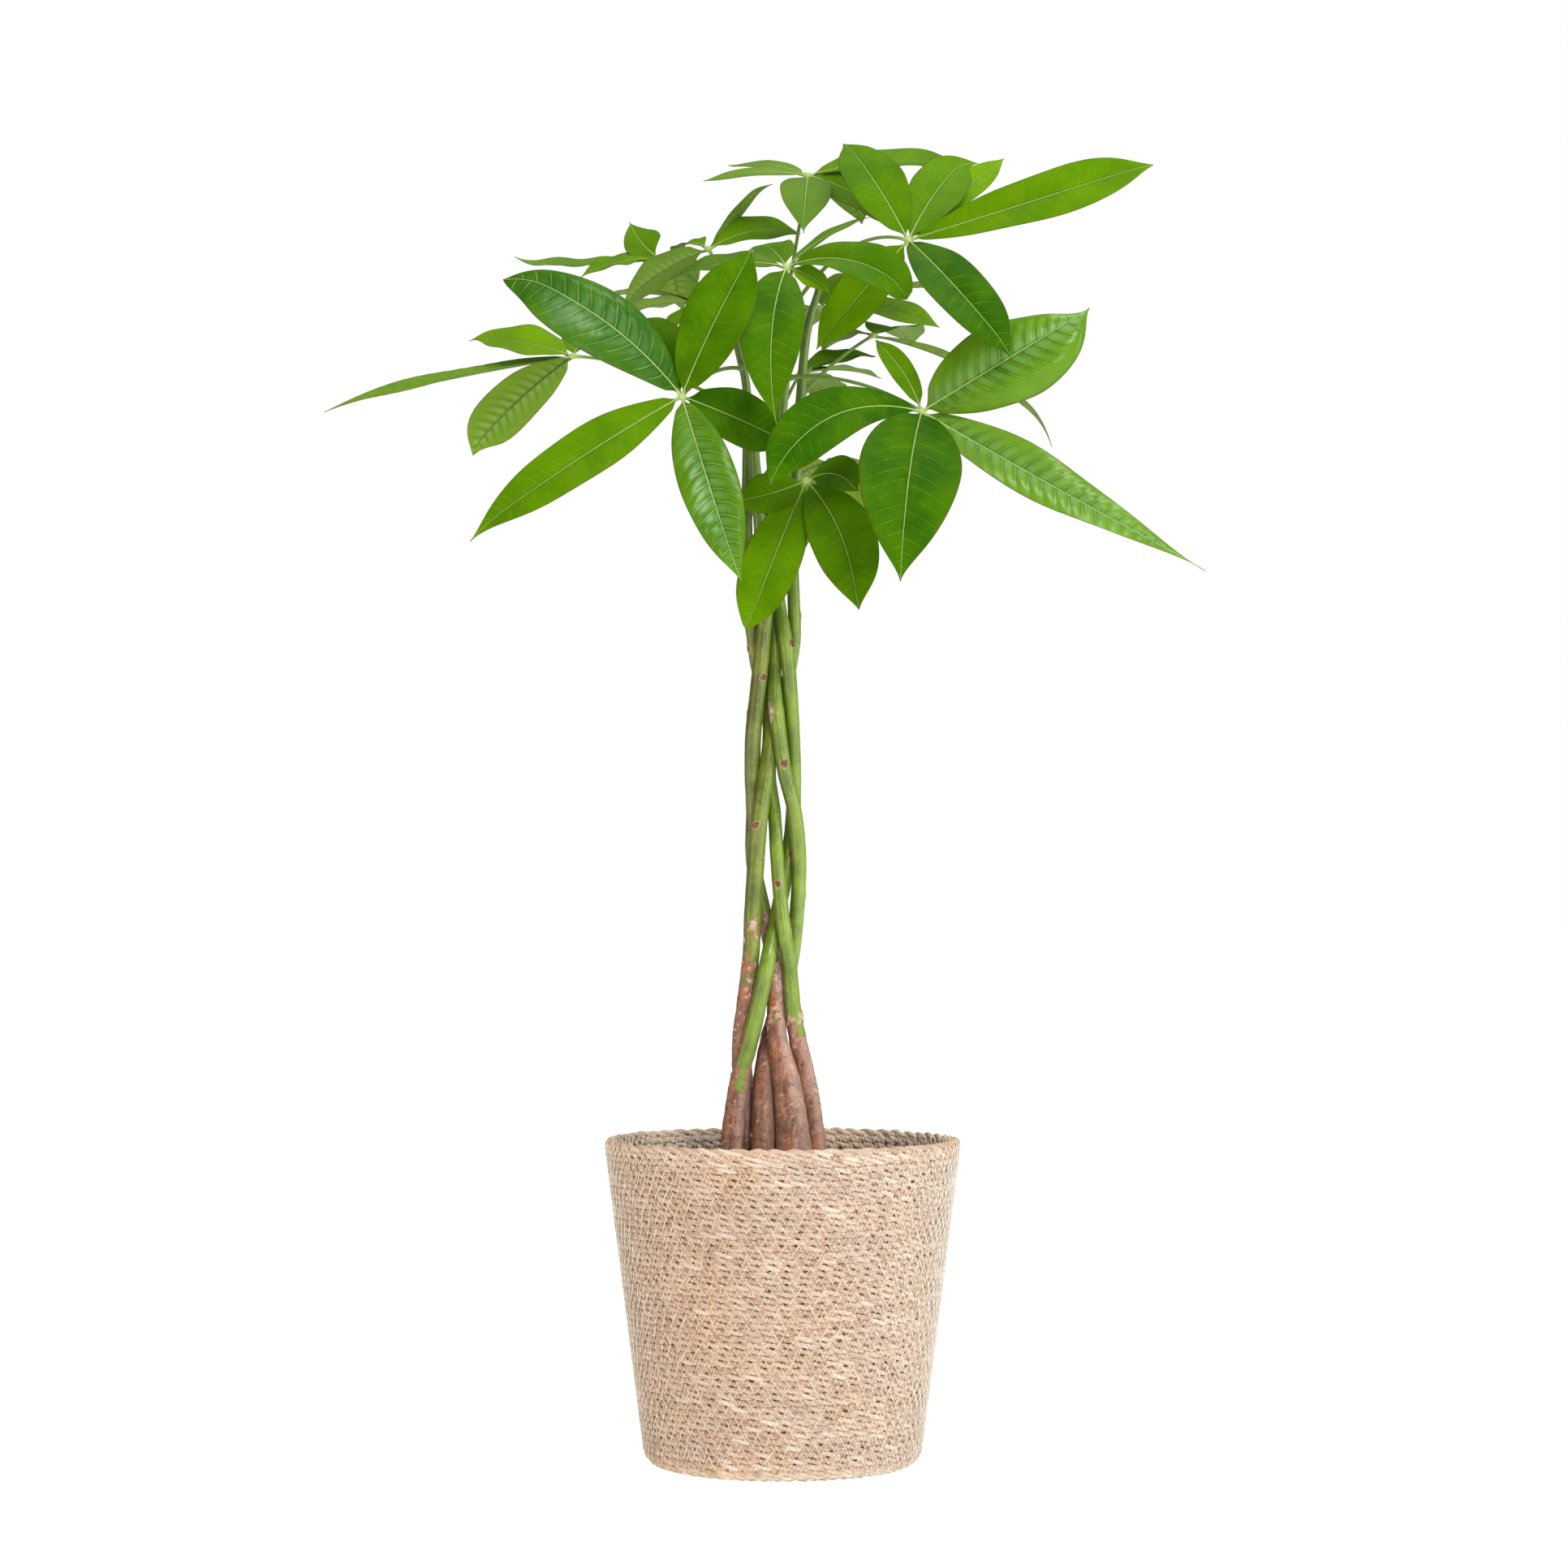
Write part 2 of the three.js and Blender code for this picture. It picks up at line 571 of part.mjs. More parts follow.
// The stalk of a compound leaf, thicker at both ends, from inside its stem to the hub.
function petiole(start, hub, bow) {
  const control = start.clone().add(hub).multiplyScalar(0.5);
  control.z += 2 * bow;
  const line = new THREE.QuadraticBezierCurve3(start, control, hub);
  const centres = line.getPoints(PETIOLE.rings - 1);
  const radii = centres.map((_, i) => {
    const fromMiddle = Math.abs((2 * i) / (PETIOLE.rings - 1) - 1);
    return THREE.MathUtils.lerp(PETIOLE.midRadius, PETIOLE.endRadius, fromMiddle ** 3);
  });
  return tube(centres, radii, PETIOLE.sides);
}

function leaf({ foot, hub, faces, bow, leaflets }, carrier) {
  const centre = new THREE.Vector3(...hub);
  const start = carrier.line.pointAt(foot);
  let body = petiole(start, centre, bow).subtract(carrier.grown);
  body = body.add(ball(centre, HUB_RADIUS));
  for (const leaflet of leaflets) {
    const upwards = new THREE.Vector3(...(leaflet.faces ?? faces)).normalize();
    body = body.add(leafletBlade(centre, upwards, leaflet));
  }
  return body;
}

// ---- the part -----------------------------------------------------------------------------

const group = new THREE.Group();

function addNode(name, solid, colour, roughness) {
  const mesh = new THREE.Mesh(toGeometry(solid), material(colour, roughness));
  mesh.name = name;
  group.add(mesh);
}

const stems = {};
for (const [name, points] of Object.entries(STEMS)) stems[name] = stem(points);

addNode("basket", basket(), SEAGRASS, 0.9);
addNode("nursery_pot", nurseryPot(), DARK_PLASTIC, 0.6);
addNode("soil", soil(stems), POTTING_SOIL, 1);
for (const [name, { solid }] of Object.entries(stems)) addNode(name, solid, GREEN_BARK, 0.7);
for (const [name, shape] of Object.entries(LEAVES)) {
  addNode(name, leaf(shape, stems[shape.stem]), LEAF_GREEN, 0.45);
}

export default group;
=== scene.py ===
# The looks of the potted money tree: five plaited stems, their compound leaves, the seagrass
# basket and the nursery pot with its soil. Sizes in this script are millimetres until a mesh is
# made. Stems and leaves are where the solid model has them, but fourteen leaflets are shaped or
# placed closer to the photo here.
import math

import bpy
import numpy as np
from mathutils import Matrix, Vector, noise


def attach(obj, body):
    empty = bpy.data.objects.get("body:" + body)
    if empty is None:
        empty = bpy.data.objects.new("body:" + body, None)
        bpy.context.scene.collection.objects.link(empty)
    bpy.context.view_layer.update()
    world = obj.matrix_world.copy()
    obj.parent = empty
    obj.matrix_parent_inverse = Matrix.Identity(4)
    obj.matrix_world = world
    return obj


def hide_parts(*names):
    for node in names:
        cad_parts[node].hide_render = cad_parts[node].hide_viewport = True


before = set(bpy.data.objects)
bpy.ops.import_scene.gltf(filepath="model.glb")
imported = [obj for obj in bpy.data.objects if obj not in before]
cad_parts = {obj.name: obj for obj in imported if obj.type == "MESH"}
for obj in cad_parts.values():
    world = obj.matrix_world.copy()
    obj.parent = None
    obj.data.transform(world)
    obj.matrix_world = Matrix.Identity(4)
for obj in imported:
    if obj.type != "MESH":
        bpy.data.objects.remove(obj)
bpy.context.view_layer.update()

MM = 0.001
BODY = "root"

# ---- sizes ------------------------------------------------------------------------------------

BASKET = dict(height=265, rim_radius=145, base_radius=113, corner=14)
# Ropes: the height of a row, the radius of a ply and how far it stands from the rope's middle,
# the length of a full twist, how unevenly the plies lie, and how far in from the basket's
# outside the middle of the rope lies.
ROPE = dict(row=5.15, ply=2.0, spread=1.45, twist=26, wander=2.2, centre=3.2)
RIM_ROPE = dict(row=0.3, ply=2.1, spread=1.5, twist=30, wander=2.0)
# Rows of rope, from the middle of the underside to the rim: name, first and last turn round the
# basket (the last band ends at the rim), points in a turn and sides of a ply.
BANDS = [("basket_underside", 0.0, 19.0, 130, 5), ("basket_wall_low", 19.0, 35.0, 290, 6),
         ("basket_wall_middle", 35.0, 52.0, 310, 6), ("basket_wall_high", 52.0, None, 320, 6)]
# Sewing thread: how far it stands off the rope's middle, the length of a stitch, its reach in
# rows, how many rows have the same number of stitches, and how many are sewn inside.
THREAD = dict(radius=0.44, stand=3.9, step=4.63, reach=1.85, stretch=4.0, inner_rows=9.0)
# The core is painted dark, as the shade in the gaps between the rows of rope.
CORE = 1.2              # thickness of the dark core behind the rope
POT = dict(rim=238, top=123, base=95, bottom=6.8, wall=2, floor=2.5, lip=4.5, lip_depth=9,
           holes=6, hole_radius=6, hole_ring=62)
SOIL = dict(edge=221, middle=227, bottom=9.6, gap=0.3)

STEM_START = 180        # the stems are drawn from here up; the rest is buried
STEM_RING_STEP = 1.6    # between two rings of a stem
STEM_SIDES = 30
STEM_TIP = 9            # the length over which a stem's tip is rounded
PEELS_FROM = 236        # no bark peels off below this height
YOUNG_FROM, ALL_YOUNG = 640, 800    # heights between which the stems turn to young green
# Painted shade: the stems are painted darker on this side, and painted paler, as light, on the
# other.
PAINTED_SHADE_SIDE = np.array([-0.95, 0.3, 0.0])      # the side of the stems that gets least light
LEAF_STEP = 1.9         # between two rows of points along a leaflet
VEIN_PAIRS = 15         # side veins on each half of a leaflet
VEIN_STAGGER = 0.45     # how far the veins of the right half are out of step with the left
# A leaflet where its table says nothing else: how far its edges rise over the midrib, how full
# its outline is, at what share of its length it is widest, and how thin its tip is drawn.
BLADE_FOLD, BLADE_FULLNESS, BLADE_BELLY, BLADE_DRIP = 0.16, 0.92, 0.54, 0.62
BLADE_NECK = (2.5, 15)  # it widens between these distances from the hub
DRIP_REACH = 0.09       # the share of its length that its drawn-out tip takes
HOOK_REACH = 0.2        # the share of its length that bends at its tip
BLADE_HALF_THICK, BLADE_THINNING = 0.3, 0.15    # at the midrib, and how much less at the edge
# The stalk of a compound leaf: its radius, how much thinner it gets, how far it swells at its
# foot and at the hub, and over what lengths. Then the hub's radius and half its height.
STALK_SIZE = dict(radius=1.5, taper=0.2, foot=1.5, foot_reach=4.5, top=0.8, top_reach=5)
HUB_SIZE = dict(radius=3.4, half_height=2.6)
SCAR_HIGH, SCAR_WIDE = 3.4, 3.2
ACROSS = [1, 0.95, 0.84, 0.68, 0.5, 0.32, 0.15, 0.05, 0, -0.05, -0.15, -0.32, -0.5, -0.68,
          -0.84, -0.95, -1]
RIB_SIDES = 8
UPPER_SIDE, UNDERSIDE, STALK, GLOSSY_SIDE = range(4)    # the finishes of a leaf, in order
ABOUT_A_TURN = 6.28     # in radians

# The photo in its own pixels: its side, the camera's focal length, and how far the horizon lies
# below its middle.
PHOTO_SIDE, FOCAL_LENGTH, HORIZON = 1932, 4900, 114
# Strength of the white surroundings: as light on the plant, as mirrored, and of the floor as it
# is seen.
FELT_LIGHT, MIRRORED_LIGHT, FLOOR_LIGHT = 0.42, 0.13, 0.85

# ---- where the stems and leaves are -------------------------------------------------------------

# Centre line of each stem from the soil upwards: x, y, height and radius at each point.
STEMS = {
    "stem_1": [
        (-44, -1, 236, 10), (-42, -1, 255, 9.6), (-39, -2, 285, 8.4), (-34.8, -4, 315, 7.3),
        (-25.5, -6, 348, 7), (-20.2, -8, 371, 6.7), (-13.3, -11.5, 403, 6.6),
        (-9.6, -5, 421, 6.4), (-5.6, 1, 439, 6.3), (4.1, 8, 490, 6.1), (8.6, 8, 530, 6),
        (9, 4, 562, 6), (8, 1, 595, 5.9), (6.6, -3, 623, 5.9), (4.6, -7, 649, 5.9),
        (1.7, -7, 673, 5.8), (-3.6, -1, 702, 5.6), (-7, -5, 740, 5.2), (-6, -10, 780, 4.9),
        (-1, -21, 850, 4.3), (4, -31, 905, 3.8), (7, -38, 945, 3.3), (8, -40, 958, 2),
    ],
    "stem_2": [
        (-29, 16, 236, 10), (-28, 15, 255, 10), (-32, 16, 292, 9.6), (-33.2, 13, 315, 8.2),
        (-33.8, 8, 348, 7), (-30.8, 4, 371, 7), (-26.9, -2, 403, 7), (-25.4, -4, 421, 7),
        (-24.9, -4, 439, 7), (-21.8, -5, 490, 7), (-18.2, -9, 530, 6.8), (-13.2, -8, 562, 6.5),
        (-10.3, 1, 595, 6.2), (-13.6, 5, 623, 6), (-20.6, 5, 649, 5.8), (-24.2, 3, 673, 5.6),
        (-28.2, 0, 702, 5.3), (-29.5, -1, 750, 4.8), (-29, -1, 830, 4), (-30, 0, 879, 3.4),
        (-37, 2, 911, 3.2), (-45, 8, 950, 2.9), (-48, 10, 963, 1.8),
    ],
    "stem_3": [
        (-17, -2, 236, 10.5), (-15.6, -2, 255, 10.3), (-15, 1, 285, 10.1), (-14.5, 5, 315, 9.2),
        (-9, 11, 348, 8), (-2.6, 13, 371, 7), (6, 11, 403, 6.3), (9, 6, 421, 6.1),
        (10.9, 3, 439, 6), (13.3, -2, 490, 6), (9.6, -6, 530, 5.9), (1.5, -10, 562, 5.9),
        (-3, -11, 595, 6), (-6.5, -8, 623, 6.2), (-7, 1, 649, 5.8), (-7, 4, 673, 5.5),
        (-11.6, 8, 702, 5.3), (-13, 14, 740, 5), (-11, 20, 780, 4.7), (-6, 33, 860, 4),
        (-2, 44, 925, 3.3), (0, 48, 945, 2),
    ],
    "stem_4": [
        (11, -10, 236, 14.8), (9, -10, 255, 14.4), (6, -9.5, 290, 12.2), (2.3, -8, 315, 10.5),
        (-4.6, -6, 348, 7.6), (-5.6, -2, 371, 7.2), (-6.3, 2, 403, 6.5), (-10, 10.8, 421, 6.3),
        (-13.5, 12.8, 439, 6.2), (-24.2, 9, 490, 6.1), (-23.8, 5, 530, 6.3),
        (-24.8, 1, 562, 6.5), (-24, -5, 595, 6.6), (-20.9, -7, 623, 6.6), (-18.2, -9, 649, 6.5),
        (-15.9, -9.5, 673, 6.2), (-13.5, -11.5, 702, 5.9), (-17, -15, 740, 5.4),
        (-20, -18, 780, 4.8), (-23, -22, 822, 4), (-24, -24, 838, 2.2),
    ],
    "stem_5": [
        (29, 6, 236, 8.8), (26.9, 6, 255, 8.6), (23.5, 4, 290, 7.6), (18.9, 2, 315, 7.2),
        (11.6, -3, 348, 7), (8.3, -6, 371, 6.6), (5.6, -7, 403, 6.2), (3, -10.8, 421, 6.1),
        (0.3, -11.5, 439, 6), (-4.5, -6, 490, 5.6), (-7, 2, 530, 5.4), (-10.9, 6, 562, 5.3),
        (-6.6, 15, 595, 5.3), (-0.3, 10, 623, 5.3), (6.3, 7, 649, 5.2), (9.6, 4, 673, 5.2),
        (9, 4, 702, 5.1), (8, 4, 740, 4.9), (11, 6, 800, 4.5), (14, 8, 860, 4.1),
        (20, 12, 925, 3.5), (30, 17, 962, 2.9), (33, 18, 974, 1.8),
    ],
}

# Where each stem turns from brown bark to green: at what height (top), over how long a stretch
# (spread), and how much lower (lean) the green reaches in one direction (down). Directions are
# degrees round the stem, 0 to the right and -90 to the front. Scars are leaf scars: height and
# direction. Flakes are pale bark: height, direction, size. Patches are stray spots of bark
# (above 0) or of green (below 0): height, direction, size, strength. Olive darkens the green of
# an older stem, rust warms its bark, and a crease is a groove round it at that height.
BARK = {
    "stem_1": dict(top=354, spread=18, lean=24, down=-72, olive=0.15, rust=0.4,
                   scars=[(495, -60), (666, -30), (566, 100), (742, 60)],
                   flakes=[(308, -150, 2)],
                   patches=[(307, -86, 8, -1.9), (327, -78, 9, -1.3)]),
    "stem_2": dict(top=407, spread=34, lean=2, down=10, olive=0.75, rust=0.7,
                   scars=[(519, -115), (664, -160), (600, 40), (770, 120)],
                   flakes=[(438, -80, 2), (394, -85, 2)],
                   patches=[(433, -85, 7, 1), (446, -75, 3, 1), (470, 60, 8, 1)]),
    "stem_3": dict(top=392, spread=24, lean=0, down=10, olive=0.3, rust=0.75,
                   scars=[(569, -80), (462, 20), (690, 70), (790, 100)],
                   flakes=[(612, -150, 4), (604, -165, 3)],
                   patches=[(430, 120, 9, 1), (618, -80, 4, 1), (608, -150, 6, 1)]),
    "stem_4": dict(top=440, spread=30, lean=0, down=10, olive=1.0, rust=0.25, crease=341,
                   scars=[(540, 120), (640, -60), (610, 150)],
                   flakes=[(400, -25, 7), (388, -30, 5), (376, -60, 2)],
                   patches=[(361, -80, 8, -2.2), (500, 20, 10, 1)]),
    "stem_5": dict(top=362, spread=6, lean=-2, down=10, olive=0.2, rust=0.15,
                   scars=[(470, -100), (435, 0), (690, 20), (740, 90)],
                   flakes=[(361, -25, 4), (302, -40, 2)],
                   patches=[(351, -38, 8, -2), (432, -95, 3, 1)]),
}

# Each compound leaf: the stem that carries it and the height of its foot there, the hub where
# its leaflets meet, the way its upper side faces, how far the stalk bows upwards, and its
# leaflets. A leaflet has a tip, a greatest width, a lift and a sway of its midrib, a belly (the
# share of its length where it is widest) and sometimes a facing of its own. Looks: tone from 0,
# deep green, to 1, yellow green; pale greys it; gloss, and sheen (at what share of the length
# and over what reach it is glossy). Bends: hook moves the tip left and up in mm, twist is in
# degrees, fold lifts both edges, roll lowers the left and the right one. Wave and pucker are the
# strength of its ripples and pleats, drip says how thin its tip is drawn, and halves gives its
# left and right half each a width and a belly.
LEAVES = {
    "leaf_front_left": dict(
        stem="stem_2", foot=893, hub=(-80, -110, 857), faces=(-0.05, -0.96, 0.27), bow=8,
        leaflets=[
            dict(tip=(-214, -138, 953), width=54, lift=14, sway=-8, tone=0.1, gloss=0.65,
                 fold=0.2, roll=(0, 0.15), hook=(8, -6), drip=0.15, twist=-6, pucker=0.9,
                 halves=((64, 0.6), (48, 0.48)), sheen=(0.5, 0.26)),
            dict(tip=(-23, -138, 969), width=52, lift=10, tone=0.2, gloss=0.1, twist=6,
                 hook=(2, 0)),
            dict(tip=(-246, -155, 741), width=43, lift=12, sway=1, belly=0.48, tone=0.36,
                 gloss=0.1, hook=(4, 0), twist=5),
            dict(tip=(-33, -160, 706), width=47, lift=14, sway=-1, belly=0.5, tone=0.34,
                 gloss=0.85, fold=0.22, roll=(0.1, 0.05), twist=-5, pucker=0.9, sheen=(0.55, 0.4)),
            dict(tip=(4, -75, 824), width=46, lift=4, tone=0.12, gloss=0.2),
            dict(tip=(-112, -70, 926), width=46, lift=4, tone=0.2),
        ]),
    "leaf_front_centre": dict(
        stem="stem_1", foot=905, hub=(3, -90, 963), faces=(0, -0.8, 0.6), bow=4,
        leaflets=[
            dict(tip=(-6, -150, 832), width=51, lift=14, sway=-7, belly=0.45, tone=0.12,
                 gloss=0.1, hook=(1, -2), drip=0.7, twist=4),
            dict(tip=(99, -112, 940), width=40, lift=14, sway=7, belly=0.7, tone=0.25,
                 gloss=0.3, drip=0.3, fold=0.26, hook=(-3, -6)),
            dict(tip=(37, -98, 943), width=20, lift=3, tone=0.5),
            dict(tip=(70, -40, 1012), width=17, lift=4, faces=(0.4, 0.2, 0.9), tone=0.3,
                 pale=0.2),
            dict(tip=(-16, -30, 990), width=34, lift=4, tone=0.3),
            dict(tip=(-97, -62, 953), width=38, lift=10, faces=(0, -0.5, 0.85), tone=0.25,
                 pale=0.25, gloss=0.3),
        ]),
    "leaf_upper_right": dict(
        stem="stem_1", foot=935, hub=(101, -60, 989), faces=(0.05, -0.92, 0.38), bow=22,
        leaflets=[
            dict(tip=(296, -80, 1048), width=42, lift=12, sway=-7, belly=0.6, tone=0.42,
                 gloss=0.1, drip=0.7, twist=3),
            dict(tip=(51, -5, 1078), width=48, lift=8, tone=0.26),
            dict(tip=(151, 5, 1067), width=44, lift=6, sway=3, tone=0.35, pale=0.1,
                 hook=(-10, 0)),
            dict(tip=(180, -152, 885), width=46, lift=18, sway=-6, belly=0.58, tone=0.04,
                 gloss=0.3, twist=0, hook=(-2, -2)),
            dict(tip=(26, -58, 902), width=40, lift=3, belly=0.5, tone=0.5),
            dict(tip=(184, 50, 1074), width=26, lift=6, tone=0.65),
        ]),
    "leaf_front_right": dict(
        stem="stem_1", foot=882, hub=(110, -110, 845), faces=(0.05, -0.94, 0.33), bow=10,
        leaflets=[
            dict(tip=(241, -135, 923), width=60, lift=10, sway=-4, tone=0.46, gloss=1.0,
                 fold=0.2, roll=(0.05, 0.4), hook=(3, -7), drip=0.85, twist=0, pucker=1.2,
                 halves=((64, 0.42), (72, 0.6)), sheen=(0.6, 0.8)),
            dict(tip=(331, -145, 717), width=42, lift=16, sway=-9, belly=0.36, tone=0.55,
                 gloss=0.85, pale=0.3, fold=0.2, pucker=1.3, wave=1.4),
            dict(tip=(90, -205, 702), width=80, lift=20, sway=-4, belly=0.46, tone=0.08,
                 gloss=0.1, drip=0.45, hook=(0, 2), twist=0),
            dict(tip=(-11, -150, 785), width=47, lift=12, sway=-23, belly=0.62, tone=0.06,
                 gloss=0.2),
            dict(tip=(73, -80, 906), width=20, lift=3, sway=-4, tone=0.35),
        ]),
    "leaf_top": dict(
        stem="stem_3", foot=928, hub=(21, 40, 1059), faces=(0, 0.02, 1), bow=0,
        leaflets=[
            dict(tip=(-66, 55, 1056), width=22, lift=6, tone=0.6, faces=(0, -0.5, 0.85),
                 fold=0.05, pale=0.7, wave=0.3, twist=0, hook=(0, 1), pucker=0.2),
            dict(tip=(-46, 110, 1078), width=22, lift=6, tone=0.6, faces=(0, -0.5, 0.85),
                 fold=0.05, pale=0.7, wave=0.2, twist=0, hook=(0, 2), pucker=0.2),
            dict(tip=(16, -8, 1003), width=43, lift=8, belly=0.42, faces=(0, -0.9, 0.4),
                 tone=0.35, pale=0.6, wave=0.6),
            dict(tip=(153, 60, 1070), width=46, lift=8, faces=(0, -0.5, 0.85), tone=0.4),
            dict(tip=(98, 12, 1010), width=40, lift=8, faces=(0, -0.7, 0.7), tone=0.35,
                 pale=0.1),
            dict(tip=(70, 170, 1040), width=46, lift=14, tone=0.5),
        ]),
    "leaf_upper_left": dict(
        stem="stem_2", foot=940, hub=(-62, 60, 1001), faces=(-0.1, 0.1, 1), bow=6,
        leaflets=[
            dict(tip=(-14, 85, 1062), width=15, lift=4, sway=5, faces=(-0.9, 0.4, 0.3),
                 tone=0.6, pale=0.5, hook=(0, -7), wave=0.5, twist=0),
            dict(tip=(16, 100, 1020), width=44, lift=10, faces=(0, -0.6, 0.8), tone=0.45),
            dict(tip=(-91, 88, 1001), width=30, lift=7, faces=(0, -0.4, 0.9), tone=0.5),
            dict(tip=(-132, 40, 951), width=34, lift=8, faces=(-0.2, 0.6, 0.75), tone=0.4,
                 pale=0.45, pucker=1.5),
        ]),
    "leaf_far_left": dict(
        stem="stem_2", foot=855, hub=(-173, 20, 906), faces=(-0.1, 0.05, 1), bow=10,
        leaflets=[
            dict(tip=(-260, 50, 926), width=44, lift=4, belly=0.45, faces=(0, -0.6, 0.8),
                 tone=0.66),
            dict(tip=(-381, 40, 864), width=42, lift=3, tone=0.85, pale=0.6, gloss=0.2,
                 faces=(-0.1, -0.33, 0.94), twist=0, wave=0.8, pucker=1.0),
            dict(tip=(-262, 60, 831), width=46, lift=8, belly=0.62, faces=(-0.3, 0.85, 0.45),
                 tone=0.6, gloss=0.5, drip=0.75, hook=(-5, 0), pucker=1.9),
            dict(tip=(-152, 130, 938), width=40, lift=8, tone=0.5),
        ]),
    "leaf_back_left": dict(
        stem="stem_2", foot=926, hub=(-106, 130, 1004), faces=(0, 0.05, 1), bow=10,
        leaflets=[
            dict(tip=(-131, 148, 1039), width=34, belly=0.34, lift=4, sway=5, faces=(0, -0.9, 0.4),
                 tone=0.3, pale=0.1, wave=0.4, drip=0.95, twist=0),
            dict(tip=(-229, 140, 1001), width=36, lift=-3, tone=0.5, pale=0.5,
                 faces=(0, -0.3, 0.95), hook=(0, 6)),
            dict(tip=(-170, 100, 985), width=32, lift=4, faces=(0, -0.4, 0.9), tone=0.5),
            dict(tip=(-90, 245, 975), width=48, lift=18, tone=0.4),
        ]),
    "leaf_mid_left": dict(
        stem="stem_3", foot=905, hub=(-71, 90, 960), faces=(0, 0.1, 1), bow=4,
        leaflets=[
            dict(tip=(-150, 155, 975), width=34, lift=5, tone=0.5),
            dict(tip=(-140, 105, 950), width=34, lift=5, tone=0.55),
            dict(tip=(-97, 50, 926), width=22, lift=4, tone=0.5),
            dict(tip=(-60, 215, 915), width=42, lift=12, tone=0.4),
        ]),
    "leaf_mid_right": dict(
        stem="stem_3", foot=895, hub=(31, 85, 955), faces=(0, 0.05, 1), bow=4,
        leaflets=[
            dict(tip=(130, 40, 932), width=36, lift=9, faces=(0, -0.55, 0.8), tone=0.7,
                 gloss=0.3),
            dict(tip=(78, 200, 1000), width=44, lift=8, tone=0.5),
            dict(tip=(0, 225, 940), width=44, lift=12, tone=0.4),
            dict(tip=(150, 150, 980), width=40, lift=8, tone=0.55),
        ]),
    "leaf_inner_right": dict(
        stem="stem_3", foot=845, hub=(15, 60, 897), faces=(0, -0.1, 1), bow=4,
        leaflets=[
            dict(tip=(80, 128, 920), width=34, lift=6, faces=(0, -0.4, 0.9), tone=0.45,
                 pale=0.15),
            dict(tip=(82, 80, 895), width=30, lift=5, tone=0.4),
            dict(tip=(48, 165, 872), width=40, lift=8, tone=0.4),
        ]),
    "leaf_back_right": dict(
        stem="stem_5", foot=872, hub=(76, 70, 930), faces=(0.1, 0, 1), bow=4,
        leaflets=[
            dict(tip=(32, 130, 926), width=24, lift=7, tone=0.4),
            dict(tip=(229, 60, 843), width=36, lift=14, faces=(0.5, 0, 0.85), tone=0.5,
                 hook=(0, -9), twist=0),
            dict(tip=(112, 215, 942), width=46, lift=10, tone=0.4),
        ]),
    "leaf_low_centre": dict(
        stem="stem_4", foot=775, hub=(19, -60, 795), faces=(0, -0.92, 0.38), bow=4,
        leaflets=[
            dict(tip=(-28, -100, 673), width=46, lift=8, belly=0.6, tone=0.42, drip=0.3),
            dict(tip=(59, -100, 689), width=54, lift=10, sway=8, belly=0.52, tone=0.26,
                 drip=0.5),
            dict(tip=(-40, -66, 777), width=36, lift=4, sway=4, tone=0.3),
            dict(tip=(59, -90, 782), width=34, lift=4, sway=10, tone=0.2, gloss=0.4),
        ]),
    "leaf_back_low": dict(
        stem="stem_5", foot=780, hub=(40, 105, 828), faces=(0, 0.7, 0.7), bow=6,
        leaflets=[
            dict(tip=(76, 210, 792), width=44, lift=12, tone=0.35),
            dict(tip=(20, 235, 768), width=48, lift=14, tone=0.3, gloss=0.4),
            dict(tip=(-28, 180, 790), width=40, lift=10, tone=0.4),
            dict(tip=(62, 150, 748), width=36, lift=8, tone=0.45),
        ]),
    "leaf_back_centre": dict(
        stem="stem_3", foot=800, hub=(0, 150, 855), faces=(-0.2, 0.6, 0.75), bow=6,
        leaflets=[
            dict(tip=(-12, 270, 872), width=48, lift=12, tone=0.35, gloss=0.4),
            dict(tip=(60, 245, 868), width=46, lift=10, tone=0.4),
            dict(tip=(18, 235, 818), width=42, lift=10, tone=0.3),
            dict(tip=(-28, 212, 850), width=34, lift=8, tone=0.45),
        ]),
}

# ---- writing node trees -------------------------------------------------------------------------


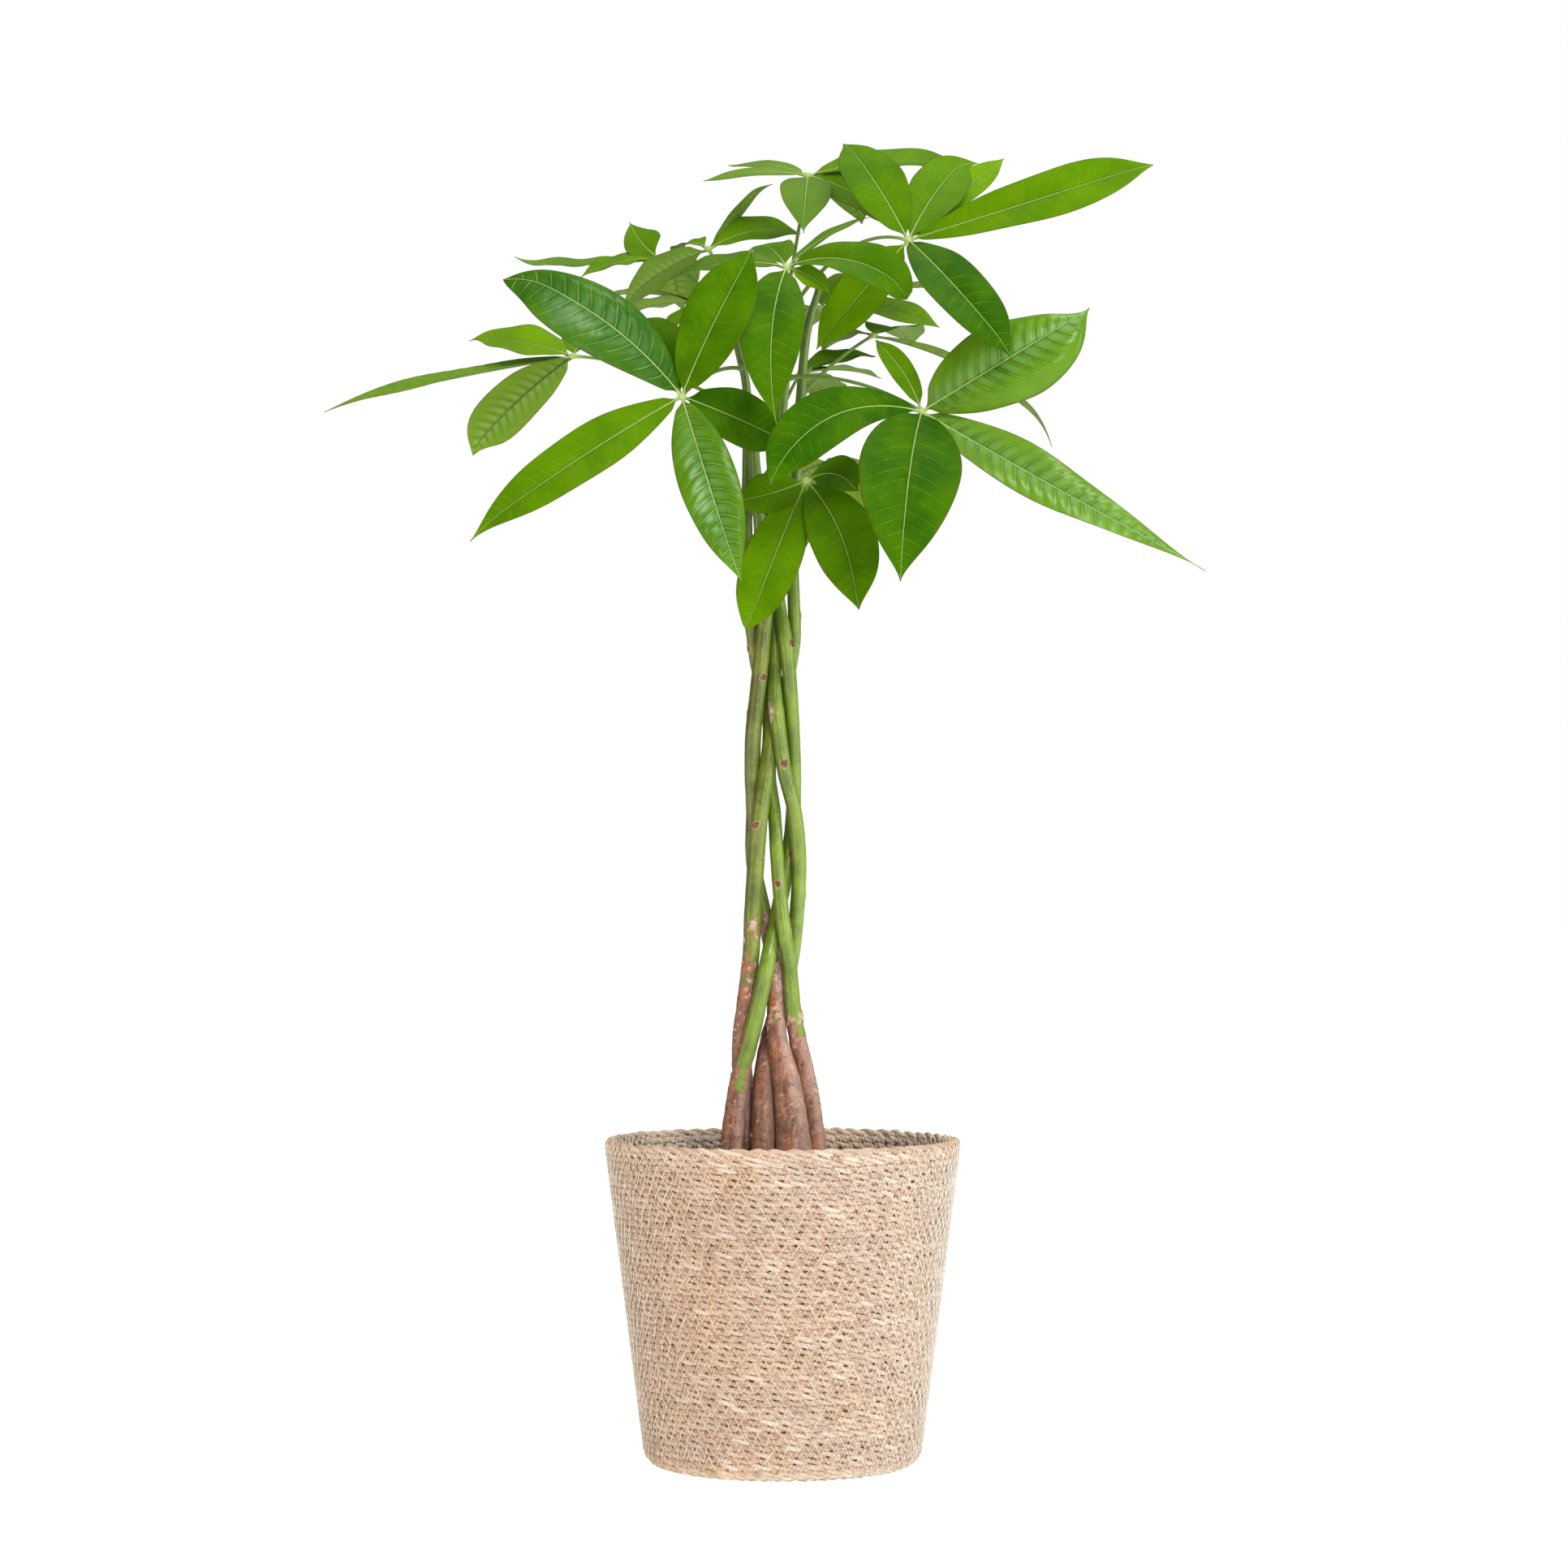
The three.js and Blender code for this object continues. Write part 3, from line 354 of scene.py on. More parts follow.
class Graph:
    """A node tree written one step a line: each call adds a node and gives back an output."""

    def __init__(self, tree):
        self.tree = tree

    def feed(self, node, inputs):
        for key, value in inputs.items():
            if isinstance(value, bpy.types.NodeSocket):
                self.tree.links.new(value, node.inputs[key])
            else:
                node.inputs[key].default_value = value
        return node

    def add(self, kind, inputs=None, out=0, **settings):
        node = self.tree.nodes.new(kind)
        for name, value in settings.items():
            setattr(node, name, value)
        return self.feed(node, inputs or {}).outputs[out]

    def math(self, operation, *values):
        return self.add("ShaderNodeMath", dict(enumerate(values)), operation=operation)

    def plus(self, *values):
        return self.math("ADD", *values)

    def times(self, *values):
        return self.math("MULTIPLY", *values)

    def vector(self, operation, *values, out=0):
        return self.add("ShaderNodeVectorMath", dict(enumerate(values)), out, operation=operation)

    def scaled(self, vector, amount):
        return self.add("ShaderNodeVectorMath", {"Vector": vector, "Scale": amount},
                        operation="SCALE")

    def stretched(self, place, across, upward):
        return self.vector("MULTIPLY", place, (across, across, upward))

    def combine(self, x=0.0, y=0.0, z=0.0):
        return self.add("ShaderNodeCombineXYZ", {0: x, 1: y, 2: z})

    def range(self, value, low, high, to_low=0.0, to_high=1.0, smooth=True):
        return self.add("ShaderNodeMapRange", {0: value, 1: low, 2: high, 3: to_low, 4: to_high},
                        interpolation_type="SMOOTHSTEP" if smooth else "LINEAR")

    def blend(self, factor, low, high):
        return self.add("ShaderNodeMix", {0: factor, 6: low, 7: high}, out=2, data_type="RGBA")

    def coats(self, base, *layers):
        """A colour painted over with others; each layer is how far it covers and its colour."""
        for cover, paint in layers:
            base = self.blend(cover, base, paint)
        return base

    def value(self, name):
        return self.add("ShaderNodeAttribute", out=2, attribute_name=name)

    def noise(self, vector, scale, detail=3.0, roughness=0.5):
        return self.add("ShaderNodeTexNoise", {"Vector": vector, "Scale": scale, "Detail": detail,
                                               "Roughness": roughness})

    def shake(self, vector, scale, detail=2.0):
        """A noise vector with parts from -0.5 to 0.5."""
        shake = self.add("ShaderNodeTexNoise", {"Vector": vector, "Scale": scale,
                                                "Detail": detail}, out=1)
        return self.vector("SUBTRACT", shake, (0.5, 0.5, 0.5))

    def cells(self, vector, scale, **settings):
        return self.add("ShaderNodeTexVoronoi", {"Vector": vector, "Scale": scale}, **settings)

    def random(self, low, high, seed):
        """A random number for each point, or a random vector between two tuples."""
        if isinstance(low, tuple):
            return self.add("FunctionNodeRandomValue", {0: low, 1: high, "Seed": seed},
                            data_type="FLOAT_VECTOR")
        return self.add("FunctionNodeRandomValue", {2: low, 3: high, "Seed": seed}, out=1,
                        data_type="FLOAT")

    def bump(self, strength, distance, height):
        return self.add("ShaderNodeBump", {"Strength": strength, "Distance": distance,
                                           "Height": height})


def colour(red, green, blue):
    """A colour picked on a screen, 0 to 255 each, as the light values that nodes use."""
    def light(part):
        part /= 255
        return part / 12.92 if part <= 0.04045 else ((part + 0.055) / 1.055) ** 2.4
    return light(red), light(green), light(blue), 1.0


def new_finish(name):
    """A new material, its graph, its Principled shader and the place of each point on it."""
    finish = bpy.data.materials.new(name)
    finish.use_nodes = True
    tree = finish.node_tree
    tree.nodes.clear()
    skin = tree.nodes.new("ShaderNodeBsdfPrincipled")
    output = tree.nodes.new("ShaderNodeOutputMaterial")
    tree.links.new(skin.outputs[0], output.inputs[0])
    g = Graph(tree)
    return finish, g, skin, g.add("ShaderNodeTexCoord", out=3)


# ---- finishes -----------------------------------------------------------------------------------


def leaf_finish(name, underside=False, glossy=False):
    """Leaf skin: green with paler side veins and a net of fine veins between them. An underside is
    greyer, and a glossy leaf has a coat of wax and a painted sheen on the crests between its pleats.
    The glossier a leaflet, the more painted shade lies in the grooves of its pleats, and each
    leaflet has painted shade in the crease beside its midrib."""
    finish, g, skin, place = new_finish(name)
    tone, pale, gloss = g.value("tone"), g.value("pale"), g.value("gloss")
    side, row = g.value("side"), g.value("vein_row")
    off_middle = g.math("ABSOLUTE", side)
    patches = g.noise(place, 30.0, 3.0, 0.55)
    grain = g.noise(place, 260.0, 3.0, 0.6)
    shift = g.times(g.math("LESS_THAN", side, 0.0), VEIN_STAGGER)
    turn = g.math("FRACT", g.plus(row, shift))
    gap = g.math("MINIMUM", turn, g.math("SUBTRACT", 1.0, turn))
    fade = g.range(off_middle, 0.5, 0.95, 1.0, 0.1)
    vein = g.times(g.range(gap, 0.008, 0.045, 1.0, 0.0), fade)
    vein = g.times(vein, g.range(g.noise(place, 60.0), 0.35, 0.6, 0.35, 1.0))
    net = g.range(g.cells(place, 330.0, feature="DISTANCE_TO_EDGE"), 0.0, 0.12, 1.0, 0.0)
    crest = g.times(g.range(gap, 0.1, 0.4), g.range(off_middle, 0.1, 0.7, 1.0, 0.0))
    pleated = g.times(fade, gloss)
    # Painted shade: the grooves between the pleats are painted darker, the more so the glossier the
    # leaflet.
    painted_groove_shade = g.times(g.range(gap, 0.0, 0.22, 1.0, 0.0), pleated)
    green = g.coats(
        g.blend(g.plus(tone, g.range(patches, 0.3, 0.7, -0.1, 0.1)), colour(38, 86, 0),
                colour(120, 164, 2)),
        (g.times(pale, 0.7), colour(104, 132, 62)),
        (g.range(grain, 0.35, 0.65, 0.0 if underside else 0.06, 0.0), colour(30, 60, 1)))
    if underside:
        green = g.blend(0.5, green, colour(120, 146, 62))
        vein_colour = colour(98, 114, 48)
    else:
        vein_colour = g.blend(0.6, green, colour(170, 204, 130) if glossy else
                              colour(150, 176, 60))
    green = g.blend(g.times(net, 0.05), green, vein_colour)
    # Painted sheen: the crests between a glossy leaflet's pleats are painted pale bluish green, as a
    # highlight.
    if glossy:
        green = g.blend(g.times(crest, g.times(gloss, 0.3)), green, colour(124, 184, 124))
    if underside:
        green = g.blend(g.times(crest, 0.3), green, colour(156, 176, 104))
    # painted shade in the grooves of the pleats comes first
    green = g.coats(green, (g.times(painted_groove_shade, 0.45), colour(24, 70, 16)),
                    (g.times(vein, 0.8 if glossy else 0.42), vein_colour),
                    # painted shade in the crease beside the midrib
                    (g.times(g.range(off_middle, 0.02, 0.1, 1.0, 0.0), 0.4), colour(40, 76, 6)),
                    (g.times(g.range(off_middle, 0.95, 0.995), 0.7), colour(84, 76, 30)))
    rough = g.plus(g.range(gloss, 0.0, 1.0, 0.6, 0.27, smooth=False),
                   g.range(patches, 0.3, 0.7, -0.04, 0.06))
    if underside:
        rough = g.math("MAXIMUM", rough, 0.55)
    height = g.plus(g.times(vein, 0.6 if underside else -0.6), g.times(net, 0.02))
    pleat = g.times(g.range(gap, 0.0, 0.3), pleated)
    height = g.plus(height, g.times(pleat, 0.5 if underside else 1.6))
    g.feed(skin, {"Base Color": green, "Roughness": rough, "Normal": g.bump(0.35, 0.0006, height),
                  "Specular IOR Level": 0.24 if glossy else 0.14,
                  "Specular Tint": (0.6, 1.0, 0.35, 1.0) if glossy else (0.6, 0.9, 0.1, 1.0),
                  "Subsurface Weight": 0.1, "Subsurface Radius": (0.6, 1.0, 0.1),
                  "Subsurface Scale": 0.002})
    if glossy:
        g.feed(skin, {"Coat Weight": g.times(gloss, 0.4), "Coat Roughness": 0.2})
    return finish


def stalk_finish():
    """Leaf stalks, hubs and midribs: fresh green, paler where they swell."""
    finish, g, skin, place = new_finish("leaf_stalk_green")
    green = g.blend(g.noise(place, 90.0), colour(58, 92, 16), colour(90, 126, 32))
    green = g.blend(g.value("pale"), green, colour(180, 200, 116))
    g.feed(skin, {"Base Color": green, "Roughness": 0.45, "Specular IOR Level": 0.35,
                  "Normal": g.bump(0.2, 0.0003, g.noise(place, 900.0))})
    return finish


def bark_finish():
    """Stem skin: waxy green above with pale specks, satin brown bark with pale flakes below, painted
    darker as shade down the side away from the light and paler as light right of the middle.
    """
    finish, g, skin, place = new_finish("stem_bark")
    edge, scar, flake = g.value("bark"), g.value("scar"), g.value("flake")
    long = g.stretched(place, 260.0, 36.0)
    streaks = g.noise(long, 1.0, 4.0, 0.6)
    patches = g.noise(place, 48.0, 4.0, 0.6)
    blots = g.noise(g.stretched(place, 1.0, 0.5), 120.0, 4.0, 0.65)
    mottles = g.noise(g.stretched(place, 1.0, 0.6), 400.0, 4.0, 0.7)
    rings = g.noise(g.stretched(place, 40.0, 420.0), 1.0, 3.0, 0.6)
    russet = g.noise(place, 90.0, 4.0, 0.7)
    fine = g.noise(place, 800.0, 3.0, 0.6)
    specks, pits = g.cells(place, 300.0), g.cells(place, 165.0)
    dots = g.cells(g.stretched(place, 1.0, 0.7), 210.0)
    ragged = g.times(g.math("SUBTRACT", g.noise(long, 3.0, 4.0, 0.65), 0.5), 1.2)
    bark = g.range(g.plus(edge, ragged), 0.25, 0.75)
    # Painted shading: dark paints shade on the side away from the light, pale paints light on the
    # other side.
    painted_shading = g.plus(g.value("painted_shading"), g.range(streaks, 0.3, 0.7, -0.12, 0.12))
    dark = g.range(painted_shading, 0.4, 0.95, 0.0, 0.62)
    pale = g.range(painted_shading, 0.08, 0.36, 0.5, 0.0)
    old = g.blend(g.range(patches, 0.35, 0.65), colour(76, 82, 8), colour(116, 120, 30))
    green = g.coats(
        g.blend(g.range(patches, 0.3, 0.7), colour(86, 120, 8), colour(130, 160, 34)),
        (g.times(g.value("young"), 0.8), colour(58, 94, 34)),
        (g.times(g.value("olive"), 0.85), old),
        (g.range(streaks, 0.5, 0.8, 0.0, 0.3), colour(156, 164, 82)),
        # painted shade, then painted light, on the green
        (dark, colour(70, 80, 14)),
        (g.times(pale, 0.6), colour(166, 192, 84)),
        (g.range(specks, 0.06, 0.16, 0.6, 0.0), colour(184, 190, 124)),
        (g.range(dots, 0.06, 0.16, 0.8, 0.0), colour(104, 66, 30)),
        (g.range(russet, 0.62, 0.74, 0.0, 0.45), colour(150, 116, 52)))
    brown = g.coats(
        g.blend(g.range(blots, 0.35, 0.65), colour(116, 64, 40), colour(204, 152, 124)),
        (g.times(g.value("rust"), 0.7), colour(128, 76, 46)),
        (g.range(patches, 0.5, 0.68, 0.0, 0.75), colour(188, 106, 58)),
        (g.range(streaks, 0.5, 0.7, 0.0, 0.5), colour(210, 176, 156)),
        (g.range(mottles, 0.52, 0.66, 0.0, 0.65), colour(88, 48, 30)),
        (g.range(rings, 0.56, 0.68, 0.0, 0.5), colour(104, 64, 44)),
        # painted shade, then painted light, on the bark
        (g.times(dark, 0.8), colour(92, 50, 32)),
        (pale, colour(198, 164, 148)),
        (g.range(pits, 0.05, 0.14, 0.8, 0.0), colour(54, 32, 24)),
        (g.range(fine, 0.6, 0.75, 0.0, 0.3), colour(212, 172, 144)))
    halo = g.times(g.range(edge, 0.02, 0.4), g.range(edge, 0.6, 0.98, 1.0, 0.0))
    speckle = g.range(fine, 0.4, 0.6)
    skin_colour = g.coats(
        g.blend(bark, green, brown),
        (g.times(halo, 0.5), colour(138, 112, 56)),
        (g.times(flake, 0.85), g.blend(speckle, colour(190, 150, 126), colour(228, 204, 184))),
        (g.range(scar, 0.1, 0.5, 0.0, 0.7), colour(178, 152, 100)),
        (g.range(scar, 0.55, 0.9), g.blend(speckle, colour(70, 36, 20), colour(136, 84, 50))))
    rough = g.plus(g.range(bark, 0.0, 1.0, 0.31, 0.42, smooth=False),
                   g.range(fine, 0.3, 0.7, -0.06, 0.1))
    height = g.plus(g.times(streaks, 0.5), g.times(fine, 0.25))
    height = g.plus(height, g.times(rings, 0.5))
    height = g.math("SUBTRACT", height, g.range(pits, 0.05, 0.18, 0.6, 0.0))
    height = g.times(height, g.range(bark, 0.0, 1.0, 0.12, 1.0))
    g.feed(skin, {"Base Color": skin_colour, "Roughness": rough, "Specular IOR Level": 0.7,
                  "Normal": g.bump(0.6, 0.0012, height)})
    return finish


def seagrass_finish(name):
    """Twisted seagrass: each visible strand has its own straw tone and long fibres. The inside of
    the wall is painted lighter, as light, and the top of the rim darker, as shade.
    """
    finish, g, skin, place = new_finish(name)
    number = g.combine(g.math("FLOOR", g.value("strand")), g.times(g.value("ply"), 37.3))
    own, other = (g.add("ShaderNodeTexWhiteNoise", {"Vector": spot}, noise_dimensions="2D")
                  for spot in (number, g.vector("ADD", number, (11.7, 5.3, 0.0))))
    zones = g.noise(g.stretched(place, 1.0, 2.2), 13.0, 4.0, 0.65)
    height = g.add("ShaderNodeSeparateXYZ", {0: place}, out=2)
    radius = g.vector("LENGTH", g.stretched(place, 1.0, 0.0), out=1)
    slope = (BASKET["rim_radius"] - BASKET["base_radius"]) / BASKET["height"]
    wall = g.plus(g.times(height, slope), BASKET["base_radius"] * MM)
    # Painted light: the inside of the wall is painted lighter to lift the shade there.
    inside = g.range(g.math("SUBTRACT", wall, radius), 0.0045, 0.006, 0.0, 0.7)
    rim_low, rim_high = (BASKET["height"] - 8) * MM, (BASKET["height"] - 3) * MM
    fibres = g.noise(g.combine(g.times(g.value("length"), 60.0),
                               g.times(g.value("around"), 9.0), g.times(own, 40.0)),
                     1.0, 4.0, 0.65)
    straw = g.coats(
        g.blend(own, colour(206, 172, 142), colour(236, 212, 188)),
        (g.range(zones, 0.42, 0.68, 0.0, 0.6), colour(212, 190, 176)),
        (g.range(zones, 0.44, 0.3, 0.0, 0.6), colour(222, 182, 142)),
        (g.range(other, 0.84, 0.92, 0.0, 0.5), colour(184, 146, 122)),
        (g.range(other, 0.1, 0.04, 0.0, 0.6), colour(250, 240, 226)),
        # painted light on the inside of the wall
        (inside, colour(255, 240, 214)),
        # painted shade: the top of the rim is painted darker to hold down the light it gets from
        # above
        (g.range(height, rim_low, rim_high, 0.0, 0.35), colour(186, 158, 134)),
        (g.range(fibres, 0.32, 0.58, 0.5, 0.0), colour(158, 122, 92)),
        (g.range(fibres, 0.56, 0.75, 0.0, 0.5), colour(252, 240, 222)))
    g.feed(skin, {"Base Color": straw, "Roughness": 0.7, "Specular IOR Level": 0.3,
                  "Normal": g.bump(0.7, 0.0005, fibres)})
    return finish


def plain_finish(name, low, high, scale, roughness, bump_size=0.0004):
    """A speckled two-tone surface with a fine grain, for the small plain parts."""
    finish, g, skin, place = new_finish(name)
    grain, broad = g.noise(place, scale, 5.0, 0.65), g.noise(place, scale * 0.12)
    share = g.range(g.plus(g.times(grain, 0.6), g.times(broad, 0.4)), 0.35, 0.65)
    g.feed(skin, {"Base Color": g.blend(share, low, high), "Roughness": roughness,
                  "Normal": g.bump(0.5, bump_size, grain)})
    return finish


# ---- collecting points into a piece -------------------------------------------------------------


def unit(vector):
    vector = np.asarray(vector, float)
    return vector / np.linalg.norm(vector)


def heading(line):
    """The direction of a line at each of its points."""
    along = np.gradient(line, axis=0)
    return along / np.linalg.norm(along, axis=1)[:, None]


def run_along(line):
    """How far along a line each of its points is."""
    return np.concatenate([[0], np.cumsum(np.linalg.norm(np.diff(line, axis=0), axis=1))])


class Piece:
    """Points in millimetres, faces and point values, gathered and then made into one mesh."""

    def __init__(self, *values):
        self.points, self.faces, self.finishes, self.count = [], [], [], 0
        self.values = {name: [] for name in values}

    def add(self, points, faces, finish=0, **values):
        points = np.asarray(points, float).reshape(-1, 3)
        self.faces += [tuple(int(k) + self.count for k in face) for face in faces]
        self.finishes += [finish] * len(faces)
        self.points.append(points)
        self.count += len(points)
        for name, kept in self.values.items():
            kept.append(np.broadcast_to(values.get(name, 0.0), (len(points),)).astype(float))

    def grid(self, rows, closed_around, flip=False, **values):
        """A sheet of quads through rows of points; each row has the same number of points."""
        rows = np.asarray(rows, float)
        count, wide = rows.shape[:2]
        faces = []
        for i in range(count - 1):
            for j in range(wide if closed_around else wide - 1):
                a, b = i * wide + j, i * wide + (j + 1) % wide
                face = (a, b, b + wide, a + wide)
                faces.append(face[::-1] if flip else face)
        self.add(rows, faces,
                 **{k: np.asarray(v, float).reshape(-1) for k, v in values.items()})

    def tube(self, line, radii, sides, finish=0, **values):
        """A closed round rod along a line, with a point of its own at the middle of each end."""
        line, radii = np.asarray(line, float), np.asarray(radii, float)
        along = heading(line)
        side = np.array([1.0, 0, 0]) if abs(along[0][0]) < 0.9 else np.array([0, 1.0, 0])
        turn = 2 * np.pi * np.arange(sides) / sides
        rings = []
        for centre, ahead, radius in zip(line, along, radii):
            side = unit(side - ahead * side.dot(ahead))
            up = np.cross(ahead, side)
            rings.append(centre + radius * (np.outer(np.cos(turn), side)
                                            + np.outer(np.sin(turn), up)))
        last = len(line) - 1
        faces = [(i * sides + j, i * sides + (j + 1) % sides, (i + 1) * sides + (j + 1) % sides,
                  (i + 1) * sides + j) for i in range(last) for j in range(sides)]
        low, high = (last + 1) * sides, (last + 1) * sides + 1
        faces += [(low, (j + 1) % sides, j) for j in range(sides)]
        faces += [(high, last * sides + j, last * sides + (j + 1) % sides)
                  for j in range(sides)]
        points = np.concatenate([np.concatenate(rings), line[:1], line[-1:]])
        for name, value in values.items():
            value = np.broadcast_to(value, (last + 1,))
            values[name] = np.concatenate([np.repeat(value, sides), value[[0, -1]]])
        self.add(points, faces, finish, **values)

    def made(self, name, *finishes):
        mesh = bpy.data.meshes.new(name)
        points = np.concatenate(self.points) * MM
        mesh.from_pydata(points.tolist(), [], self.faces)
        for finish in finishes:
            mesh.materials.append(finish)
        mesh.polygons.foreach_set("material_index", self.finishes)
        mesh.polygons.foreach_set("use_smooth", [True] * len(self.faces))
        for value, kept in self.values.items():
            layer = mesh.attributes.new(value, "FLOAT", "POINT")
            layer.data.foreach_set("value", np.concatenate(kept).astype(np.float32))
        mesh.update()
        return placed(name, mesh)


def placed(name, mesh):
    obj = bpy.data.objects.new(name, mesh)
    bpy.context.scene.collection.objects.link(obj)
    return obj


def evaluated_mesh(obj):
    """The object's mesh as its modifiers leave it."""
    bpy.context.view_layer.update()
    return bpy.data.meshes.new_from_object(
        obj.evaluated_get(bpy.context.evaluated_depsgraph_get()))


def set_down(obj, slot, *nodes):
    """The piece moves with the plant's one body and stands for nodes; slot is not used."""
    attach(obj, BODY)
    if nodes:
        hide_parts(*nodes)
    return obj


def lathe(profile, sides):
    """Rows of points for a shape turned round the vertical, from [radius, height] points."""
    turn = 2 * np.pi * np.arange(sides) / sides
    return [np.stack([r * np.cos(turn), r * np.sin(turn), np.full(sides, h)], 1)
            for r, h in profile]


# ---- the basket -----------------------------------------------------------------------------


def basket_radius(height):
    """The radius of the basket's outside at a height."""
    share = height / BASKET["height"]
    return BASKET["base_radius"] + (BASKET["rim_radius"] - BASKET["base_radius"]) * share


def below_rim(inset, drop):
    """A [radius, height] point that far in from the rim's edge and that far below its top."""
    return BASKET["rim_radius"] - inset, BASKET["height"] - drop


def rope_path():
    """Where the middle of the rope lies, from the centre of the underside, round the corner and
    up the wall: a line of [radius, height] points in the x-z plane."""
    centre = ROPE["centre"]
    corner = BASKET["corner"] - centre
    points = [(r, centre) for r in np.linspace(ROPE["row"] * 0.4,
                                               basket_radius(0) - BASKET["corner"], 30)]
    middle = (points[-1][0], centre + corner)
    points += [(middle[0] + corner * math.sin(t), middle[1] - corner * math.cos(t))
               for t in np.linspace(0.15, math.pi / 2, 10)]
    end = (basket_radius(BASKET["height"]) - centre - 1, BASKET["height"] - 8.6)
    start = points[-1]
    points += [(start[0] + (end[0] - start[0]) * t, start[1] + (end[1] - start[1]) * t)
               for t in np.linspace(0.02, 1, 60)]
    return points


def path_curve(name, points):
    curve = bpy.data.curves.new(name, "CURVE")
    curve.dimensions = "3D"
    spline = curve.splines.new("POLY")
    spline.points.add(len(points) - 1)
    for point, (radius, height) in zip(spline.points, points):
        point.co = (radius * MM, 0, height * MM, 1)
    return placed(name, curve)


def new_tree(name, floats, whole=()):
    """A Geometry Nodes tree with an input for each named size, float or whole, and a material.
    Gives its graph and its inputs by name."""
    tree = bpy.data.node_groups.new(name, "GeometryNodeTree")
    tree.interface.new_socket("Geometry", in_out="INPUT", socket_type="NodeSocketGeometry")
    for kind, names in (("Float", floats), ("Int", whole)):
        for size in names:
            tree.interface.new_socket(size, in_out="INPUT", socket_type="NodeSocket" + kind)
    tree.interface.new_socket("Finish", in_out="INPUT", socket_type="NodeSocketMaterial")
    tree.interface.new_socket("Geometry", in_out="OUTPUT", socket_type="NodeSocketGeometry")
    entry = tree.nodes.new("NodeGroupInput")
    return Graph(tree), {s.name: s for s in entry.outputs if s.name}


def closed_tree(g, geometry, finish):
    """The tree, ended with smooth, real geometry that has its material."""
    geometry = g.add("GeometryNodeSetShadeSmooth", {"Geometry": geometry})
    geometry = g.add("GeometryNodeRealizeInstances", {"Geometry": geometry})
    geometry = g.add("GeometryNodeSetMaterial", {"Geometry": geometry, "Material": finish})
    g.tree.links.new(geometry, g.tree.nodes.new("NodeGroupOutput").inputs[0])
    return g.tree


def run_tree(source, tree, name, **sizes):
    """Runs the tree on the source and gives its result as a plain mesh of that name."""
    modifier = source.modifiers.new(tree.name, "NODES")
    modifier.node_group = tree
    for item in tree.interface.items_tree:
        key = item.name.replace(" ", "_").lower()
        if item.in_out == "INPUT" and key in sizes:
            modifier[item.identifier] = sizes[key]
    mesh = evaluated_mesh(source)
    source.modifiers.remove(modifier)
    mesh.name = name
    return placed(name, mesh)


def store(g, geometry, name, value):
    return g.add("GeometryNodeStoreNamedAttribute",
                 {"Geometry": geometry, "Name": name, "Value": value})


def wound_line(g, size):
    """A line whose points go round the basket in steps, the number of each point and its
    turn."""
    count = g.plus(g.times(size["Turns"], size["Steps"]), 1.0)
    line = g.add("GeometryNodeMeshLine", {"Count": count, "Offset": (0.0, 0.0, 0.001)})
    line = g.add("GeometryNodeMeshToCurve", {"Mesh": line})
    index = g.add("GeometryNodeInputIndex")
    return line, index, g.plus(g.math("DIVIDE", index, size["Steps"]), size["First Turn"])


def path_at(g, size, rows):
    """The place that many rows along the rope's path, and the directions out of the wall and
    along the path there."""
    inputs = {"Curves": size["Geometry"], "Length": g.times(rows, size["Row"])}
    point = g.add("GeometryNodeSampleCurve", inputs, out=1, mode="LENGTH")
    tangent = point.node.outputs[2]
    return point, g.vector("CROSS_PRODUCT", (0.0, 1.0, 0.0), tangent), tangent


def turns_tree():
    """One twisted ply of the rope, wound round the basket."""
    g, size = new_tree("twisted_ply", (
        "First Turn", "Turns", "Row", "Ply Radius", "Spread", "Twist", "Ply", "Wander"),
        ("Steps", "Sides"))
    line, _, turn = wound_line(g, size)
    point, across, upward = path_at(g, size, turn)
    radius = g.add("ShaderNodeSeparateXYZ", {0: point})
    step_length = g.math("DIVIDE", g.times(radius, 2 * math.pi), size["Steps"])
    run = g.add("GeometryNodeAccumulateField", {"Value": step_length})
    uneven = g.times(g.noise(g.combine(g.times(run, 7.0)), 1.0, 2.0), 3.0)
    half_turns = g.plus(g.math("DIVIDE", g.times(run, 2.0), size["Twist"]),
                        g.plus(size["Ply"], uneven))
    phase = g.times(half_turns, -math.pi)
    shift = g.vector("ADD", g.scaled(across, g.math("COSINE", phase)),
                     g.scaled(upward, g.math("SINE", phase)))
    point = turned(g, g.vector("ADD", point, g.scaled(shift, size["Spread"])), turn)
    wobble = g.vector("ADD", g.shake(point, 26.0), g.scaled(g.shake(point, 110.0), 0.5))
    point = g.vector("ADD", point, g.scaled(wobble, size["Wander"]))
    line = g.add("GeometryNodeSetPosition", {"Geometry": line, "Position": point})
    line = store(g, line, "strand", g.plus(half_turns, 0.5))
    line = store(g, line, "ply", size["Ply"])
    line = store(g, line, "length", run)
    ring = g.add("GeometryNodeCurvePrimitiveCircle", {"Resolution": size["Sides"],
                                                      "Radius": size["Ply Radius"]})
    around = g.add("GeometryNodeSplineParameter")
    ring = store(g, ring, "around", g.math("PINGPONG", around, 0.5))
    swell = g.noise(g.combine(g.times(run, 70.0), g.times(size["Ply"], 9.0), turn), 1.0, 2.0)
    mesh = g.add("GeometryNodeCurveToMesh", {
        "Curve": line, "Profile Curve": ring, "Fill Caps": True,
        "Scale": g.range(swell, 0.25, 0.75, 0.76, 1.2, smooth=False)})
    return closed_tree(g, mesh, size["Finish"])


def turned(g, point, turn):
    """The point carried round the basket by that many turns."""
    return g.add("ShaderNodeVectorRotate", {"Vector": point, "Axis": (0.0, 0.0, 1.0),
                                            "Angle": g.times(turn, 2 * math.pi)},
                 rotation_type="AXIS_ANGLE")


